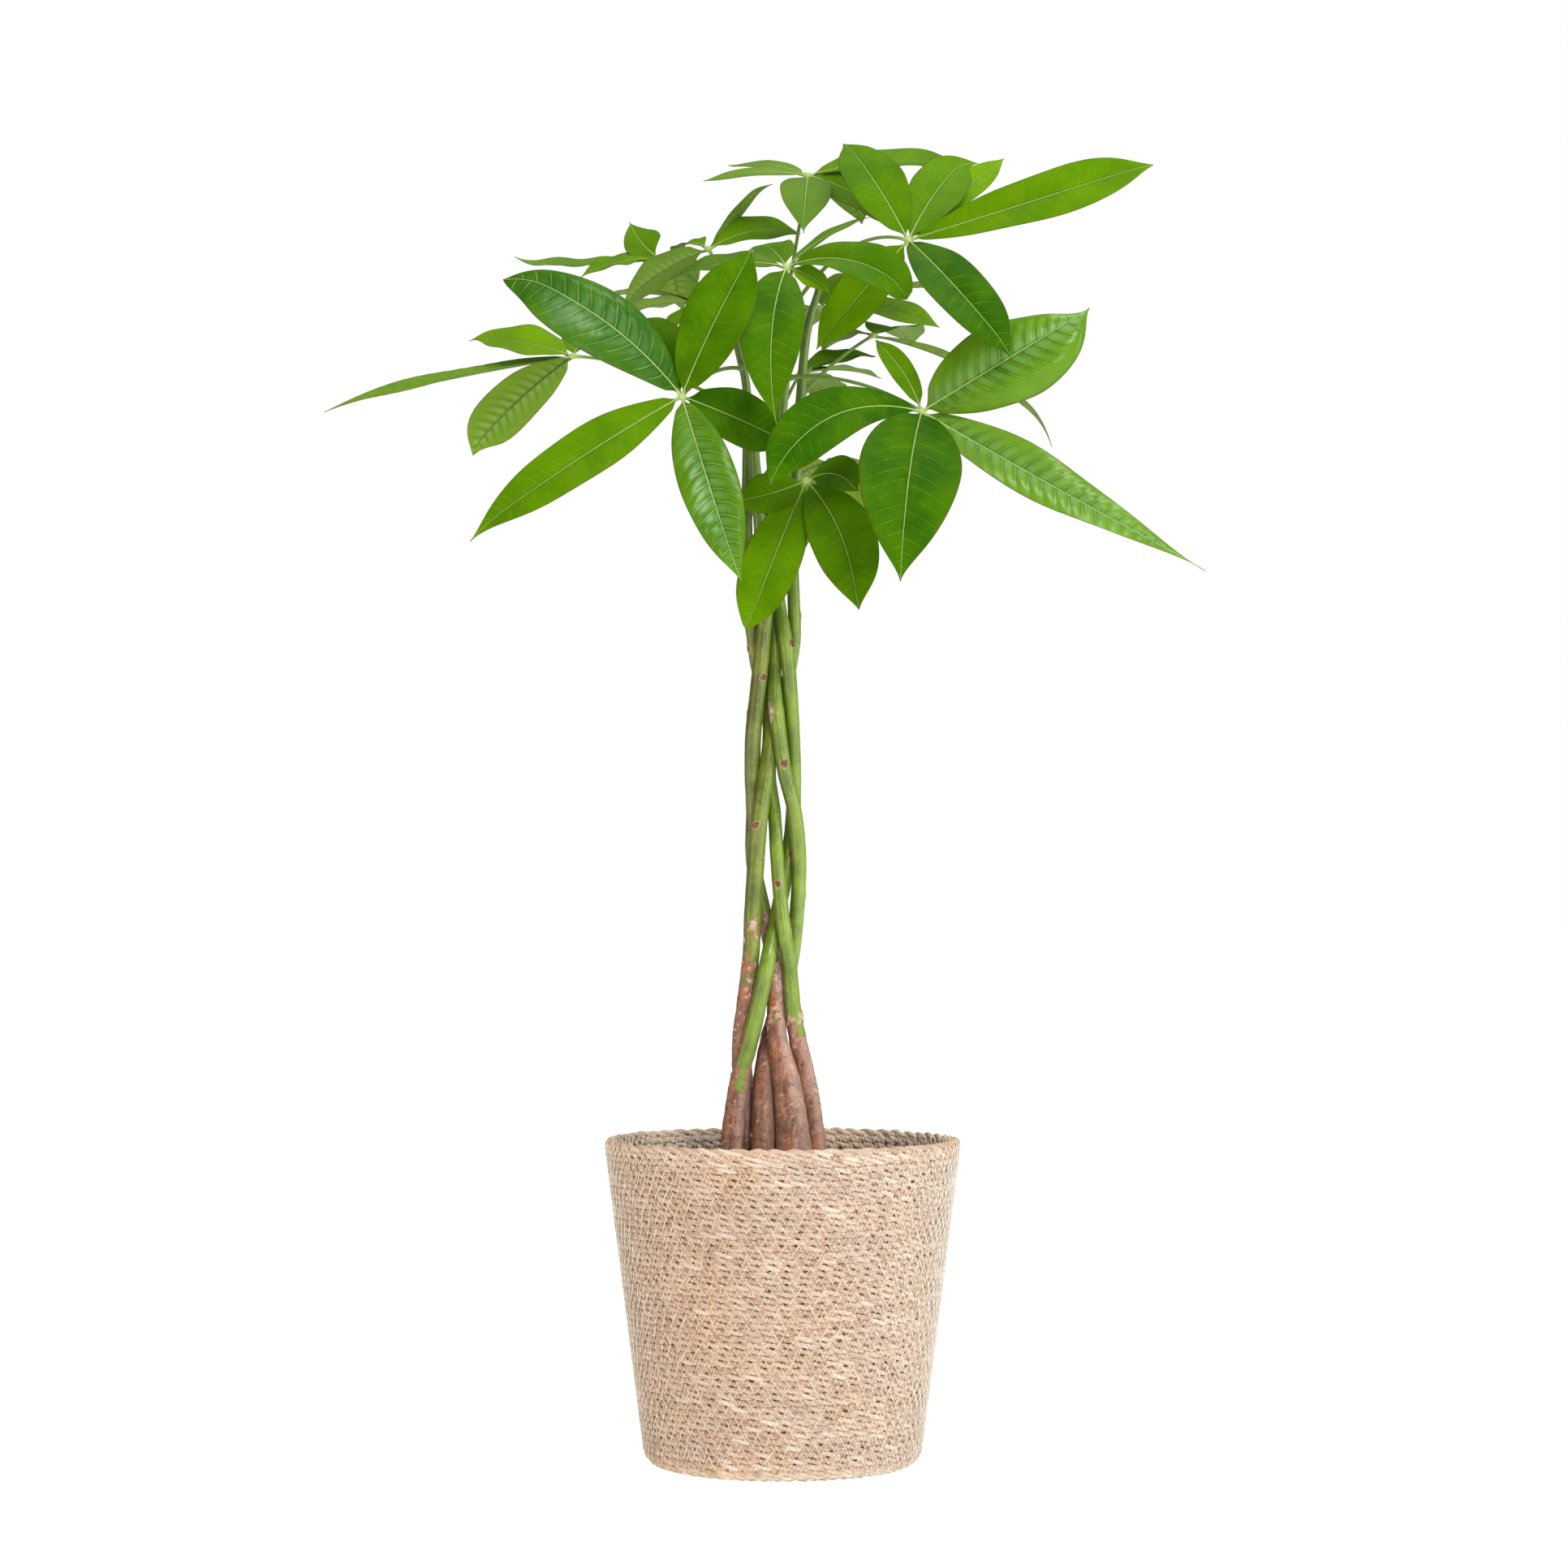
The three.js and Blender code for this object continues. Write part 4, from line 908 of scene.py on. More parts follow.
def stitch_tree():
    """Sewing thread that zigzags over the seam between one row of rope and the next."""
    g, size = new_tree("zigzag_thread", (
        "First Turn", "Turns", "Steps", "Row", "Stand", "Thread Radius", "Reach"))
    line, index, turn = wound_line(g, size)
    across_seam = g.times(g.math("SUBTRACT", g.math("MODULO", index, 2.0), 0.5), size["Reach"])
    rows = g.plus(g.plus(turn, g.plus(across_seam, 0.5)), g.random(-0.14, 0.14, 3))
    point, across, _ = path_at(g, size, rows)
    point = g.vector("ADD", point, g.scaled(across, size["Stand"]))
    drift = g.range(g.noise(g.combine(g.times(turn, 5.0)), 1.0, 2.0), 0.2, 0.8, -2.5, 2.5,
                    smooth=False)
    slip = g.math("DIVIDE", g.plus(g.random(-0.28, 0.28, 8), drift), size["Steps"])
    point = turned(g, point, g.plus(turn, slip))
    line = g.add("GeometryNodeSetPosition", {"Geometry": line, "Position": point})
    ring = g.add("GeometryNodeCurvePrimitiveCircle", {"Resolution": 4,
                                                      "Radius": size["Thread Radius"]})
    mesh = g.add("GeometryNodeCurveToMesh", {"Curve": line, "Profile Curve": ring})
    return closed_tree(g, mesh, size["Finish"])


def joined(name, parts):
    """Several meshes as one piece."""
    for part in parts[1:]:
        part.select_set(False)
    with bpy.context.temp_override(active_object=parts[0], object=parts[0],
                                   selected_objects=parts, selected_editable_objects=parts):
        bpy.ops.object.join()
    parts[0].name = name
    parts[0].data.name = name
    return parts[0]


def lay_rope(source, tree, name, rope, straw, **course):
    """A piece of the basket: the two plies of a rope, wound along a course."""
    plies = [run_tree(source, tree, f"{name}_{ply}", row=rope["row"] * MM,
                      ply_radius=rope["ply"] * MM, spread=rope["spread"] * MM,
                      twist=rope["twist"] * MM, ply=float(ply), wander=rope["wander"] * MM,
                      finish=straw, **course) for ply in (0, 1)]
    set_down(joined(name, plies), "seagrass", "basket")


def sew(source, tree, name, thread, side, radius, **course):
    """Stitches along a course, outside (side 1) or inside (-1), where the basket's radius is
    the one given."""
    return run_tree(source, tree, name, stand=side * THREAD["stand"] * MM, finish=thread,
                    thread_radius=THREAD["radius"] * MM,
                    steps=2 * math.pi * radius / THREAD["step"], **course)


def make_basket(straw, thread, seam):
    """Bands of coiled rope, the rim's thicker rope, the stitching on both sides and a core that
    closes the gaps, painted dark as the shade between the rows."""
    path = rope_path()
    source = path_curve("rope_path", path)
    path_run = np.cumsum([0.0] + [math.dist(a, b) for a, b in zip(path, path[1:])])
    path_radii = [radius for radius, _ in path]
    turns = path_run[-1] / ROPE["row"]
    ply_tree, thread_tree = turns_tree(), stitch_tree()
    for name, first, last, steps, sides in BANDS:
        last = last or turns + 1
        lay_rope(source, ply_tree, name, ROPE, straw, first_turn=first,
                 turns=last - first + 0.02, steps=steps, sides=sides)
    rim = path_curve("rim_path", [below_rim(4.3, 4.4), below_rim(4.2, 4.0)])
    lay_rope(rim, ply_tree, "basket_rim_rope", RIM_ROPE, straw, first_turn=0.0, turns=1.0,
             steps=340, sides=8)
    # The path of the last seam is no longer than a stitch, so each stitch goes from one of its
    # ends to the other.
    last_seam = path_curve("last_seam", [(path[-1][0], path[-1][1] - 2.6), below_rim(4.2, 3.6)])
    threads = []
    for side, first in ((1, 1.0), (-1, turns - THREAD["inner_rows"])):
        last = turns - 0.9
        while first < last:
            stretch = min(THREAD["stretch"], last - first)
            radius = np.interp((first + stretch / 2) * ROPE["row"], path_run, path_radii)
            threads.append(sew(source, thread_tree, "stitches", thread, side, radius,
                               first_turn=first, turns=stretch, row=ROPE["row"] * MM,
                               reach=THREAD["reach"]))
            first += stretch
        threads.append(sew(last_seam, thread_tree, "last_stitches", thread, side,
                           BASKET["rim_radius"], first_turn=0.0, turns=1.0, row=0.01 * MM,
                           reach=1400.0))
    set_down(joined("basket_stitching", threads), "seagrass", "basket")
    for unused in (source, rim, last_seam):
        bpy.data.objects.remove(unused)
    # The core's dark colour is painted shade for the gaps between the rows of rope.
    core, floor_top = Piece(), 12
    inner = [(max(r - CORE, 0.2), h + (CORE if h < floor_top else 0)) for r, h in path[::-1]]
    core.grid(lathe(path + inner + path[:1], 96), True)
    set_down(core.made("basket_rope_core", seam), "seagrass", "basket")


# ---- the pot and its soil -----------------------------------------------------------------------


def pot_inner_radius(height):
    share = (height - POT["bottom"]) / (POT["rim"] - POT["bottom"])
    return POT["base"] + (POT["top"] - POT["base"]) * share - POT["wall"]


def make_pot(plastic):
    """The nursery pot, turned from one profile, with drain holes cut in its floor."""
    rim, top, bottom, wall = POT["rim"], POT["top"], POT["bottom"], POT["wall"]
    under, lip, floor = rim - POT["lip_depth"], top + POT["lip"], bottom + POT["floor"]
    outer, base = pot_inner_radius(under) + wall, pot_inner_radius(bottom) + wall
    corner = pot_inner_radius(bottom + 3)
    profile = [(0.01, bottom), (base - 4, bottom), (base - 1.2, bottom + 1), (base, bottom + 4)]
    profile += [(base + (outer - base) * t, bottom + (under - bottom) * t)
                for t in (0.25, 0.5, 0.75, 0.99, 1)]
    profile += [(outer + 0.6, under), (lip - 1.4, under), (lip - 0.6, under + 0.5),
                (lip - 0.4, under + 1.4), (lip - 0.1, rim - 1.6), (lip - 0.4, rim - 0.5),
                (lip - 1.4, rim), (top - wall + 1, rim), (top - wall, rim - 0.6),
                (pot_inner_radius(under), under), (pot_inner_radius(120), 120),
                (corner, floor + 2), (corner - 3, floor), (0.01, floor)]
    pot = Piece()
    pot.grid(lathe(profile, 128), True)
    body = pot.made("nursery_pot_body", plastic)
    drill = Piece()
    for i in range(POT["holes"]):
        turn = 2 * math.pi * i / POT["holes"]
        x, y = POT["hole_ring"] * math.cos(turn), POT["hole_ring"] * math.sin(turn)
        drill.tube([(x, y, 2), (x, y, 14)], [POT["hole_radius"]] * 2, 24)
    cutter = drill.made("drain_drill", plastic)
    cut = body.modifiers.new("drain_holes", "BOOLEAN")
    cut.operation, cut.object, cut.solver = "DIFFERENCE", cutter, "EXACT"
    holed = evaluated_mesh(body)
    body.modifiers.remove(cut)
    body.data = holed
    bpy.data.objects.remove(cutter)
    set_down(body, "dark_plastic", "nursery_pot")


def crumb_tree():
    """Crumbs of soil strewn over the top of the bed."""
    g, size = new_tree("strewn_crumbs", ("Density", "Least Size", "Greatest Size"), ("Seed",))
    spots = g.add("GeometryNodeDistributePointsOnFaces", {
        "Mesh": size["Geometry"], "Density": size["Density"], "Seed": size["Seed"]})
    crumb = g.add("GeometryNodeMeshIcoSphere", {"Radius": 1.0, "Subdivisions": 2})
    bulk = g.random(size["Least Size"], size["Greatest Size"], size["Seed"])
    stretch = g.random((0.7, 0.7, 0.5), (1.3, 1.1, 0.9), 5)
    spin = g.random((0.0, 0.0, 0.0), (ABOUT_A_TURN, ABOUT_A_TURN, ABOUT_A_TURN), 9)
    crumbs = g.add("GeometryNodeInstanceOnPoints", {
        "Points": spots, "Instance": crumb, "Rotation": spin, "Scale": g.scaled(stretch, bulk)})
    crumbs = g.add("GeometryNodeRealizeInstances", {"Geometry": crumbs})
    rough = g.scaled(g.shake(g.add("GeometryNodeInputPosition"), 450.0, 1.0), 0.0024)
    crumbs = g.add("GeometryNodeSetPosition", {"Geometry": crumbs, "Offset": rough})
    return closed_tree(g, crumbs, size["Finish"])


def make_soil(earth, grit):
    """A lumpy bed that fills the pot, with crumbs and white grit strewn on top."""
    rings, sides = 34, 110
    edge = pot_inner_radius(SOIL["edge"]) - SOIL["gap"]
    rows, turn = [], 2 * np.pi * np.arange(sides) / sides
    for i in range(rings + 1):
        radius = max(edge * i / rings, 0.05)
        row = []
        for t in turn:
            x, y = radius * math.cos(t), radius * math.sin(t)
            height = SOIL["middle"] + (SOIL["edge"] - SOIL["middle"]) * i / rings
            lump = noise.noise(Vector((x, y, 3)) * 0.09) * 2.2
            lump += noise.noise(Vector((x, y, 9)) * 0.3) * 0.9
            row.append((x, y, height + lump * min(1, (rings - i) / 3 + 0.2)))
        rows.append(row)
    bed = Piece()
    low = pot_inner_radius(SOIL["bottom"]) - SOIL["gap"]
    under = lathe([(edge, SOIL["edge"] - 4), (low, SOIL["bottom"]), (0.05, SOIL["bottom"])],
                  sides)
    bed.grid(rows + [row.tolist() for row in under], True, flip=True)
    bed = bed.made("soil_bed", earth)
    top = Piece()
    top.grid(rows[:-1], True, flip=True)
    ground = top.made("crumb_ground", earth)
    tree = crumb_tree()
    crumbs, specks = (
        run_tree(ground, tree, name, density=density, least_size=least * MM,
                 greatest_size=greatest * MM, seed=seed, finish=finish)
        for name, density, least, greatest, seed, finish in (
            ("soil_crumbs", 42000.0, 0.8, 2.6, 4, earth), ("soil_grit", 2200.0, 0.7, 1.7, 12, grit)))
    bpy.data.objects.remove(ground)
    set_down(joined("soil_bed", [bed, crumbs]), "potting_soil", "soil")
    set_down(specks, "potting_soil")


# ---- stems --------------------------------------------------------------------------------------


def through(points):
    """A smooth line through the points, as closely spaced samples. The knots are spaced by the
    square root of the distances, as in the solid model."""
    points = np.asarray(points, float)
    first, last = 2 * points[0] - points[1], 2 * points[-1] - points[-2]
    padded = np.concatenate([[first], points, [last]])
    line = []
    for a, b, c, d in zip(padded, padded[1:], padded[2:], padded[3:]):
        near, mid, far = (math.sqrt(np.linalg.norm(q - p)) for p, q in ((a, b), (b, c), (c, d)))
        start = ((b - a) / near - (c - a) / (near + mid) + (c - b) / mid) * mid
        end = ((c - b) / mid - (d - b) / (mid + far) + (d - c) / far) * mid
        for t in np.linspace(0, 1, 24, endpoint=False):
            line.append(b * (2 * t ** 3 - 3 * t ** 2 + 1) + start * (t ** 3 - 2 * t ** 2 + t)
                        + c * (3 * t ** 2 - 2 * t ** 3) + end * (t ** 3 - t ** 2))
    line.append(points[-1])
    return np.array(line)


def even(line, step):
    """The same line with points at even distances."""
    run = run_along(line)
    at = np.linspace(0, run[-1], max(4, round(run[-1] / step)) + 1)
    return np.stack([np.interp(at, run, line[:, k]) for k in range(3)], 1), at


def stem_line(name):
    """The middle of a stem from below the soil up, and the points of its table with those
    below the soil put first."""
    points = np.array(STEMS[name], float)
    buried = [(*points[0][:2], height, points[0][3]) for height in (150, 215)]
    points = np.concatenate([buried, points])
    line = through(points[:, :3])
    return line, points


def point_on_stem(name, height):
    line, _ = stem_line(name)
    return np.array([np.interp(height, line[:, 2], line[:, k]) for k in range(3)])


def radius_on_stem(name, height):
    _, points = stem_line(name)
    return float(np.interp(height, points[:, 2], points[:, 3]))


def smooth(value, low, high):
    share = np.clip((value - low) / (high - low), 0, 1)
    return share * share * (3 - 2 * share)


def gap_to(mark, place, high, wide):
    """How far a place on a stem is from the middle of a mark, in parts of the mark's size. Both
    are a height and a direction in degrees; a place also has the radius of the stem."""
    height, degrees, radius = place
    aside = (degrees - mark[1] + 180) % 360 - 180
    return math.hypot((height - mark[0]) / high, math.radians(aside) * radius / wide)


def bark_share(look, spot, place, seed):
    """How brown the stem is at a spot: 0 green, 1 bark. The border wanders, leans and has stray
    spots on both sides of it."""
    patch = noise.noise(spot * 0.07 + Vector((seed, 0, 0)))
    fine = noise.noise(spot * 0.32 + Vector((0, seed, 0)))
    finest = noise.noise(spot * 0.9 + Vector((0, seed, 5)))
    border = look["top"] - look["lean"] * math.cos(math.radians(place[1] - look["down"]))
    level = (border + look["spread"] * (patch * 0.9 + fine * 0.55 + finest * 0.3) - place[0])
    level /= look["spread"] * 0.3
    for *mark, size, strength in look["patches"]:
        gap = gap_to(mark, place, size * 1.3, size)
        if gap < 2:
            level += strength * 5 * math.exp(-gap * gap * 1.3) * (1 + fine * 1.2 + finest)
    return float(smooth(level, -1, 1))


def skin_at(look, spot, place, seed):
    """A stem's skin at a spot: how brown it is, how far it stands out, how much of a leaf scar
    and of a flake it is, and how near it is to the torn ring where the bark ends."""
    height = place[0]
    brown = bark_share(look, spot, place, seed)
    fine = noise.noise(spot * 0.24 + Vector((0, seed, 0)))
    lumps = (0.45 * noise.noise(spot * 0.11) + 0.22 * fine) * (0.3 + 0.7 * brown)
    lumps += 0.2 * brown * noise.noise(Vector((spot.x, spot.y, spot.z * 0.12)))
    lumps += 0.25 * brown
    scar = 0.0
    for mark in look["scars"]:
        gap = gap_to(mark, place, SCAR_HIGH, SCAR_WIDE)
        if gap < 1.8:
            lumps += 1.2 * math.exp(-gap * gap * 1.4) - 0.9 * math.exp(-gap * gap * 9)
            scar = max(scar, float(smooth(1.5 - gap + fine * 0.5, 0, 0.9)))
    ring = math.exp(-((height - look["top"]) / 2.2) ** 2) if look["spread"] < 10 else 0
    lumps += 0.6 * ring * (0.6 + fine)
    if "crease" in look:
        lumps -= 0.35 * math.exp(-((height - look["crease"]) / 1.2) ** 2)
    spots = noise.noise(spot * 0.45 + Vector((0, 0, seed)))
    flake = float(smooth(spots, 0.44, 0.62)) * (0.05 + 0.95 * brown)
    flake = max(flake, 0.9 * ring * float(smooth(fine, -0.2, 0.3)))
    for *mark, size in look["flakes"]:
        gap = gap_to(mark, place, size * 1.4, size)
        flake = max(flake, float(smooth(1.3 - gap + fine * 1.6 + spots, 0.2, 0.7)))
    return brown, lumps, scar, flake, ring


def add_peel(piece, start, along, aside, out, length, width, curl):
    """A thin flake of bark that has come loose at its upper end and bends away."""
    rows_up, rows_down = [], []
    for t in np.linspace(0, 1, 6):
        middle = start + along * (length * t) + out * (curl * t * t)
        half = width / 2 * (1 - 0.75 * t * t) * (1 - 0.5 * (1 - t) ** 3)
        line = [middle + aside * (half * s) + out * (0.25 * (1 - s * s)) for s in (-1, 0, 1)]
        rows_up.append(line)
        rows_down.append([p - out * 0.3 for p in line])
    loop = [[*up, *down[::-1]] for up, down in zip(rows_up, rows_down)]
    first = piece.count
    piece.grid(loop, True, bark=1.0, flake=0.9)
    for row, order in ((0, 1), (len(loop) - 1, -1)):
        a = first + row * 6
        piece.faces += [(a, a + 5, a + 4, a + 1)[::order], (a + 1, a + 4, a + 3, a + 2)[::order]]
        piece.finishes += [0, 0]


def make_stem(name, bark):
    """A stem from below the soil to its tip, with bark, scars, flakes and loose peels. Each
    brown spot draws one random number, and each peel five."""
    line, points = stem_line(name)
    line, run = even(line[line[:, 2] >= STEM_START], STEM_RING_STEP)
    look = BARK[name]
    seed = int(name[-1]) * 17.0
    luck = np.random.default_rng(int(seed))
    along = heading(line)
    stem = Piece("bark", "scar", "flake", "olive", "young", "rust", "painted_shading")
    rows, loose, kinds = [], [], {"bark": [], "scar": [], "flake": [], "painted_shading": []}
    for centre, ahead, left in zip(line, along, run[-1] - run):
        height = centre[2]
        side = unit(np.array([1.0, 0, 0]) - ahead * ahead[0])
        back = np.cross(ahead, side)
        radius = np.interp(height, points[:, 2], points[:, 3])
        if left < STEM_TIP:
            radius *= math.sqrt(max(1 - (1 - left / STEM_TIP) ** 2, 0.004)) ** 0.8
        row = []
        for t in 2 * np.pi * np.arange(STEM_SIDES) / STEM_SIDES:
            way = side * math.cos(t) + back * math.sin(t)
            spot = Vector(centre + way * radius)
            place = (height, math.degrees(t), radius)
            brown, lumps, scar, flake, ring = skin_at(look, spot, place, seed)
            peels = 0.5 if ring > 0.5 else 0.006
            if brown > 0.6 and height > PEELS_FROM and luck.random() < peels:
                loose.append((np.array(spot) + way * lumps, ahead, np.cross(way, ahead), way))
            row.append(centre + way * (radius + lumps))
            # painted shading: near 1 on the side painted as shade, near 0 on the side painted as lit
            painted_shading = 0.5 + 0.5 * float(way.dot(PAINTED_SHADE_SIDE))
            for kept, value in zip(kinds.values(), (brown, scar, flake, painted_shading)):
                kept.append(value)
        rows.append(row)
    young = np.repeat(smooth(line[:, 2], YOUNG_FROM, ALL_YOUNG), STEM_SIDES)
    stem.grid(rows, True, olive=look["olive"] * (1 - young), young=young, rust=look["rust"],
              **kinds)
    foot, tip = np.mean(rows[0], 0), line[-1] + along[-1] * 0.6
    last = (len(rows) - 1) * STEM_SIDES
    stem.add([foot, tip], [])
    low, high = stem.count - 2, stem.count - 1
    for j in range(STEM_SIDES):
        k = (j + 1) % STEM_SIDES
        stem.faces += [(low, k, j), (high, last + j, last + k)]
        stem.finishes += [0, 0]
    for spot, ahead, aside, way in loose:
        askew = luck.uniform(-0.7, 0.7)
        lie = ahead * math.cos(askew) + aside * math.sin(askew)
        add_peel(stem, spot - way * 0.1, lie * luck.choice((-1, 1)), np.cross(way, lie), way,
                 luck.uniform(2.2, 5.5), luck.uniform(1.2, 3.0), luck.uniform(0.2, 1.6))
    set_down(stem.made(f"{name}_skin", bark), "green_bark", name)


# ---- leaves -------------------------------------------------------------------------------------


def bowed(start, control, end, shares):
    """Points of a line that bows from start towards control and ends at end."""
    t = np.asarray(shares, float)[:, None]
    start, control, end = (np.asarray(p, float) for p in (start, control, end))
    return start * (1 - t) ** 2 + control * 2 * t * (1 - t) + end * t ** 2


def outline(share, belly):
    """Half the width at a share of the length, as a part of the greatest half width."""
    p = BLADE_FULLNESS
    q = p * (1 - belly) / belly
    return share ** p * (1 - share) ** q / (belly ** p * (1 - belly) ** q)


def blade_faces(rows, wide):
    """The faces of a leaflet's upper side, underside and rim. The points of the underside come
    after all those of the upper side."""
    count = (rows + 1) * wide
    upper, under, rim = [], [], []
    for i in range(rows):
        for k in range(wide - 1):
            a = i * wide + k
            upper.append((a, a + 1, a + 1 + wide, a + wide))
            under.append((count + a, count + a + wide, count + a + 1 + wide, count + a + 1))
        a, b = i * wide, i * wide + wide - 1
        rim.append((a, a + wide, count + a + wide, count + a))
        rim.append((b, count + b, count + b + wide, b + wide))
    for k in range(wide - 1):
        end = rows * wide + k
        rim.append((k, count + k, count + k + 1, k + 1))
        rim.append((end, end + 1, count + end + 1, count + end))
    return upper, under, rim


def add_midrib(piece, centre, out, share, run, width, gloss):
    """The rib along the middle of a leaflet, paler where it stands out of the upper side."""
    rib = (0.95 * (1 - share) ** 0.8 + 0.16) * (0.55 + 0.45 * width / 50)
    rib = rib + 0.5 * np.exp(-(run / 6) ** 2)
    crown = 0.42 + 0.25 * (1 - share)
    line = (centre + out * (crown - rib)[:, None])[::2]
    # Glossier leaflets get a paler rib: partly its own pale colour, partly a painted highlight along
    # it.
    bright = 0.5 + 0.5 * gloss + 0.3 * np.exp(-run / 12)
    out = out[::2]
    piece.tube(line, rib[::2], RIB_SIDES, finish=STALK, pale=bright[::2])
    ring_centres, ring_out = (np.concatenate([np.repeat(rows, RIB_SIDES, 0), rows[[0, -1]]])
                              for rows in (line, out))
    above = np.sum((piece.points[-1] - ring_centres) * ring_out, 1)
    piece.values["pale"][-1] = np.where(above < -0.05, 0.0, piece.values["pale"][-1])


def add_leaflet(piece, hub, faces, look, luck):
    """One leaflet: a folded, pleated and rippled blade and its midrib. It draws the same random
    numbers whatever its table says."""
    tip = np.array(look["tip"], float)
    length = np.linalg.norm(tip - hub)
    chord = (tip - hub) / length
    upper = unit(np.array(faces, float) - chord * np.dot(faces, chord))
    left = np.cross(upper, chord)
    control = (hub + tip) / 2 + upper * 2 * look["lift"] + left * 2 * look.get("sway", 0)
    rows = max(26, round(length / LEAF_STEP))
    share = np.linspace(0, 1, rows + 1)
    centre = bowed(hub, control, tip, share)
    hook = look.get("hook", (luck.uniform(-2.5, 2.5), luck.uniform(-3, 1)))
    bend = np.clip((share - (1 - HOOK_REACH)) / HOOK_REACH, 0, 1)[:, None] ** 2.4
    centre = centre + (left * hook[0] + upper * hook[1]) * bend
    along = heading(centre)
    across = np.cross(upper, along)
    across /= np.linalg.norm(across, axis=1)[:, None]
    out = np.cross(along, across)
    twist = np.radians(look.get("twist", luck.uniform(-8, 8))) * (share - 0.35) * 1.6
    across, out = (across * np.cos(twist)[:, None] + out * np.sin(twist)[:, None],
                   out * np.cos(twist)[:, None] - across * np.sin(twist)[:, None])
    run = run_along(centre)
    neck = 0.12 + 0.88 * smooth(run, *BLADE_NECK)
    point = 1 - look.get("drip", BLADE_DRIP) * np.exp(-((1 - share) / DRIP_REACH) ** 1.5)
    usual = (look["width"], look.get("belly", BLADE_BELLY))
    halves = [np.maximum(width / 2 * outline(share, belly) * neck * point, 0.75 - 0.4 * share)
              for width, belly in look.get("halves", (usual, usual))]
    gloss, fold = look.get("gloss", 0.0), look.get("fold", BLADE_FOLD)
    waxed = np.full(rows + 1, gloss)
    if "sheen" in look:
        middle_of_sheen, reach = look["sheen"]
        waxed = gloss * (0.12 + 0.88 * np.exp(-((share - middle_of_sheen) / reach) ** 2))
    gap = np.clip(run[-1] / VEIN_PAIRS, 5.5, 12)
    waves, start = luck.uniform(1.6, 3.0), luck.uniform(0, ABOUT_A_TURN, 2)
    body = np.sin(np.pi * share) ** 0.5
    tops, bottoms, sides, veins, shine = [], [], [], [], []
    for s in ACROSS:
        half = halves[0] if s >= 0 else halves[1]
        away = abs(s) * half
        vein = (run - 0.42 * away - 0.28 * away ** 2 / (look["width"] / 2)) / gap
        swell = np.abs(np.sin(np.pi * (vein + (VEIN_STAGGER if s < 0 else 0)))) ** 0.5
        swell = swell * 1.3 * look.get("pucker", 0.25 + 0.85 * gloss) * body * gap / 9
        swell = swell * np.minimum(half / 20, 1)
        swell = swell * min(1, abs(s) / 0.25) * (1 - 0.85 * abs(s) ** 4)
        wave = np.sin(2 * np.pi * waves * share + start[0 if s > 0 else 1])
        wave = wave * look.get("wave", 1.0) * 1.4 * abs(s) ** 2.5 * np.minimum(half / 18, 1)
        roll = look.get("roll", (0, 0))[0 if s > 0 else 1] * max(0, abs(s) - 0.5) ** 2 * 4
        rise = half * (fold * abs(s) * (1.4 - 0.4 * abs(s)) - roll * body) + swell + wave * body
        thick = BLADE_HALF_THICK - BLADE_THINNING * abs(s)
        middle = centre + across * (s * half)[:, None]
        tops.append(middle + out * (rise + thick)[:, None])
        bottoms.append(middle + out * (rise - thick)[:, None])
        sides.append(np.full(rows + 1, s))
        veins.append(vein)
        shine.append(waxed * (1 - 0.45 * s * s))
    top, bottom = np.stack(tops, 1), np.stack(bottoms, 1)
    values = {name: np.tile(np.stack(kept, 1).reshape(-1), 2)
              for name, kept in (("side", sides), ("vein_row", veins), ("gloss", shine))}
    upper_faces, under_faces, rim = blade_faces(rows, len(ACROSS))
    piece.add(np.concatenate([top.reshape(-1, 3), bottom.reshape(-1, 3)]),
              upper_faces + under_faces + rim, GLOSSY_SIDE if gloss > 0.5 else UPPER_SIDE,
              tone=look["tone"], pale=look.get("pale", 0.0), **values)
    below = len(under_faces) + len(rim)
    piece.finishes[-below:] = [UNDERSIDE] * below
    add_midrib(piece, centre, out, share, run, look["width"], gloss)


def make_leaf(name, spec, number, finishes):
    """A compound leaf: its stalk, which starts inside the stem, its hub and its leaflets."""
    luck = np.random.default_rng(100 + number)
    piece = Piece("side", "vein_row", "tone", "pale", "gloss")
    hub = np.array(spec["hub"], float)
    start = point_on_stem(spec["stem"], spec["foot"])
    control = (start + hub) / 2 + np.array([0, 0, 2.0 * spec["bow"]])
    shares, size = np.linspace(0, 1, 40), STALK_SIZE
    line = bowed(start, control, hub, shares)
    run = run_along(line)
    reach = radius_on_stem(spec["stem"], spec["foot"])
    radius = size["radius"] + size["taper"] * np.cos(np.pi * shares)
    radius += size["foot"] * np.exp(-((run - reach) / size["foot_reach"]) ** 2)
    radius += size["top"] * np.exp(-((run[-1] - run) / size["top_reach"]) ** 2)
    inside = run > reach * 0.5
    pale = 0.15 + 0.7 * np.exp(-((run[-1] - run) / 7) ** 2)
    piece.tube(line[inside], radius[inside], 10, finish=STALK, pale=pale[inside])
    turn = np.linspace(-np.pi / 2 + 0.12, np.pi / 2 - 0.12, 7)
    facing = unit(spec["faces"])
    piece.tube([hub + facing * HUB_SIZE["half_height"] * math.sin(t) for t in turn],
               [HUB_SIZE["radius"] * math.cos(t) for t in turn], 12, finish=STALK, pale=0.9)
    for look in spec["leaflets"]:
        add_leaflet(piece, hub, look.get("faces", spec["faces"]), look, luck)
    set_down(piece.made(f"{name}_blades", *finishes), "leaf_green", name)


# ---- light, floor and camera --------------------------------------------------------------------


def aim(obj, place, target):
    obj.location = place
    obj.rotation_euler = (Vector(target) - Vector(place)).to_track_quat("-Z", "Y").to_euler()
    bpy.context.scene.collection.objects.link(obj)


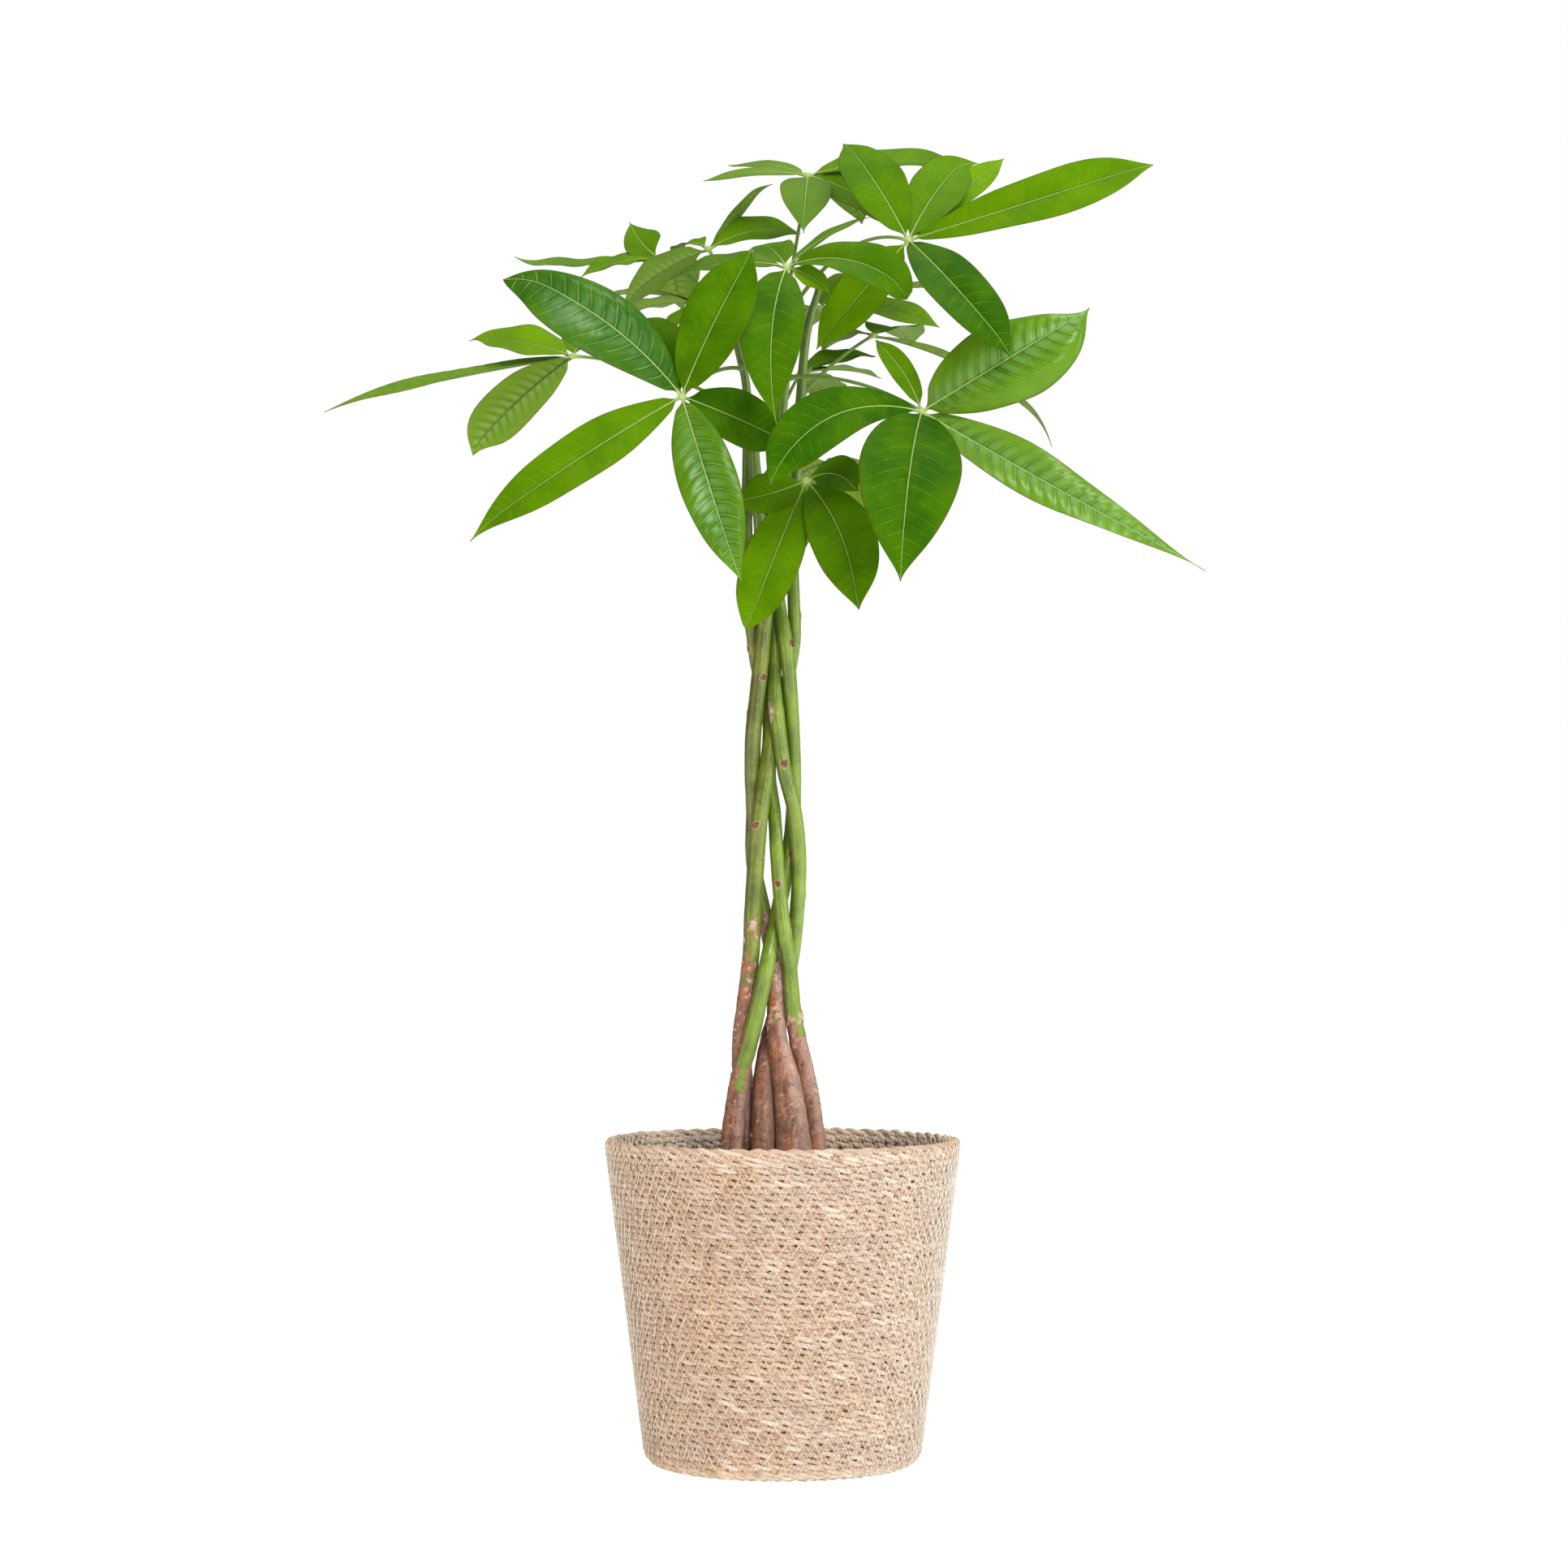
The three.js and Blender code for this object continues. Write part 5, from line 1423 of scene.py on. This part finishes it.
def softbox(name, place, target, width, height, power, tint=(1, 1, 1)):
    lamp = bpy.data.lights.new(name, "AREA")
    lamp.shape = "RECTANGLE"
    lamp.size, lamp.size_y, lamp.energy, lamp.color = width, height, power, tint
    aim(bpy.data.objects.new(name, lamp), place, target)


def make_studio():
    """White all round to look at, though less of its light falls on the plant and less again
    is mirrored, with softboxes in front, to the right, low in front, overhead and, warm, to the
    left."""
    world = bpy.data.worlds.new("pale_studio")
    world.use_nodes = True
    g = Graph(world.node_tree)
    background = world.node_tree.nodes["Background"]
    seen, mirrored = (g.add("ShaderNodeLightPath", out=ray) for ray in (0, 3))
    felt = g.range(mirrored, 0.0, 1.0, FELT_LIGHT, MIRRORED_LIGHT, smooth=False)
    g.feed(background, {"Color": (1, 1, 1, 1), "Strength": g.math("MAXIMUM", felt, seen)})
    bpy.context.scene.world = world
    softbox("softbox_front", (0.8, -1.9, 2.6), (0, 0, 0.8), 1.1, 0.9, 39, (0.96, 0.98, 1))
    softbox("softbox_right", (2.4, -1.1, 1.3), (0, 0, 0.5), 0.6, 1.8, 21, (0.86, 0.93, 1))
    softbox("softbox_low", (0.75, -2.6, 0.95), (0, 0, 0.5), 0.4, 0.9, 12, (1, 0.98, 0.96))
    softbox("softbox_top", (0.1, 0.1, 2.9), (0, 0, 0.5), 1.6, 1.6, 19)
    softbox("warm_left", (-2.2, -1.4, 0.5), (0, 0, 0.2), 1.2, 1.2, 13, (1, 0.7, 0.46))
    floor, wide, low = Piece(), 30000, -0.6
    floor.grid([[(x, y, low) for x in (-wide, wide)] for y in (-wide, wide)], False)
    white = plain_finish("floor_paper", colour(244, 244, 243), colour(250, 250, 249), 3.0, 0.9)
    skin = white.node_tree.nodes["Principled BSDF"]
    g = Graph(white.node_tree)
    seen = g.add("ShaderNodeLightPath", out=0)
    g.feed(skin, {"Emission Color": (1, 1, 1, 1), "Emission Strength": g.range(
        seen, 0.0, 1.0, FELT_LIGHT, FLOOR_LIGHT, smooth=False)})
    floor.made("studio_floor", white)
    camera = bpy.data.cameras.new("front_camera")
    camera.sensor_width, camera.lens = 36.0, 36.0 * FOCAL_LENGTH / PHOTO_SIDE
    camera.clip_end = 100
    eye = bpy.data.objects.new("front_camera", camera)
    eye.location = (0.001, -3.25, 0.477)
    eye.rotation_euler = (math.pi / 2 + math.atan(HORIZON / FOCAL_LENGTH), 0, 0)
    bpy.context.scene.collection.objects.link(eye)
    bpy.context.scene.camera = eye
    bpy.context.scene.view_settings.view_transform = "Standard"


# ---- the whole ----------------------------------------------------------------------------------

make_studio()
straw = seagrass_finish("seagrass_strands")
thread = plain_finish("sewing_thread", colour(246, 234, 214), colour(254, 248, 236), 800.0, 0.6)
# the rope core's dark colour is painted shade for the gaps between the rows
seam = plain_finish("rope_core", colour(98, 70, 50), colour(142, 110, 86), 500.0, 0.9)
make_basket(straw, thread, seam)
make_pot(plain_finish("dark_pot_plastic", colour(34, 31, 29), colour(48, 44, 40), 900.0, 0.5,
                      0.0001))
make_soil(plain_finish("potting_earth", colour(34, 23, 16), colour(82, 60, 42), 320.0, 0.95,
                       0.001),
          plain_finish("pale_grit", colour(196, 190, 178), colour(232, 228, 220), 900.0, 0.8))
bark = bark_finish()
for name in STEMS:
    make_stem(name, bark)
leaf_finishes = [leaf_finish("leaf_upper_side"), leaf_finish("leaf_underside", underside=True),
                 stalk_finish(), leaf_finish("leaf_glossy_side", glossy=True)]
for number, (name, spec) in enumerate(LEAVES.items()):
    make_leaf(name, spec, number, leaf_finishes)
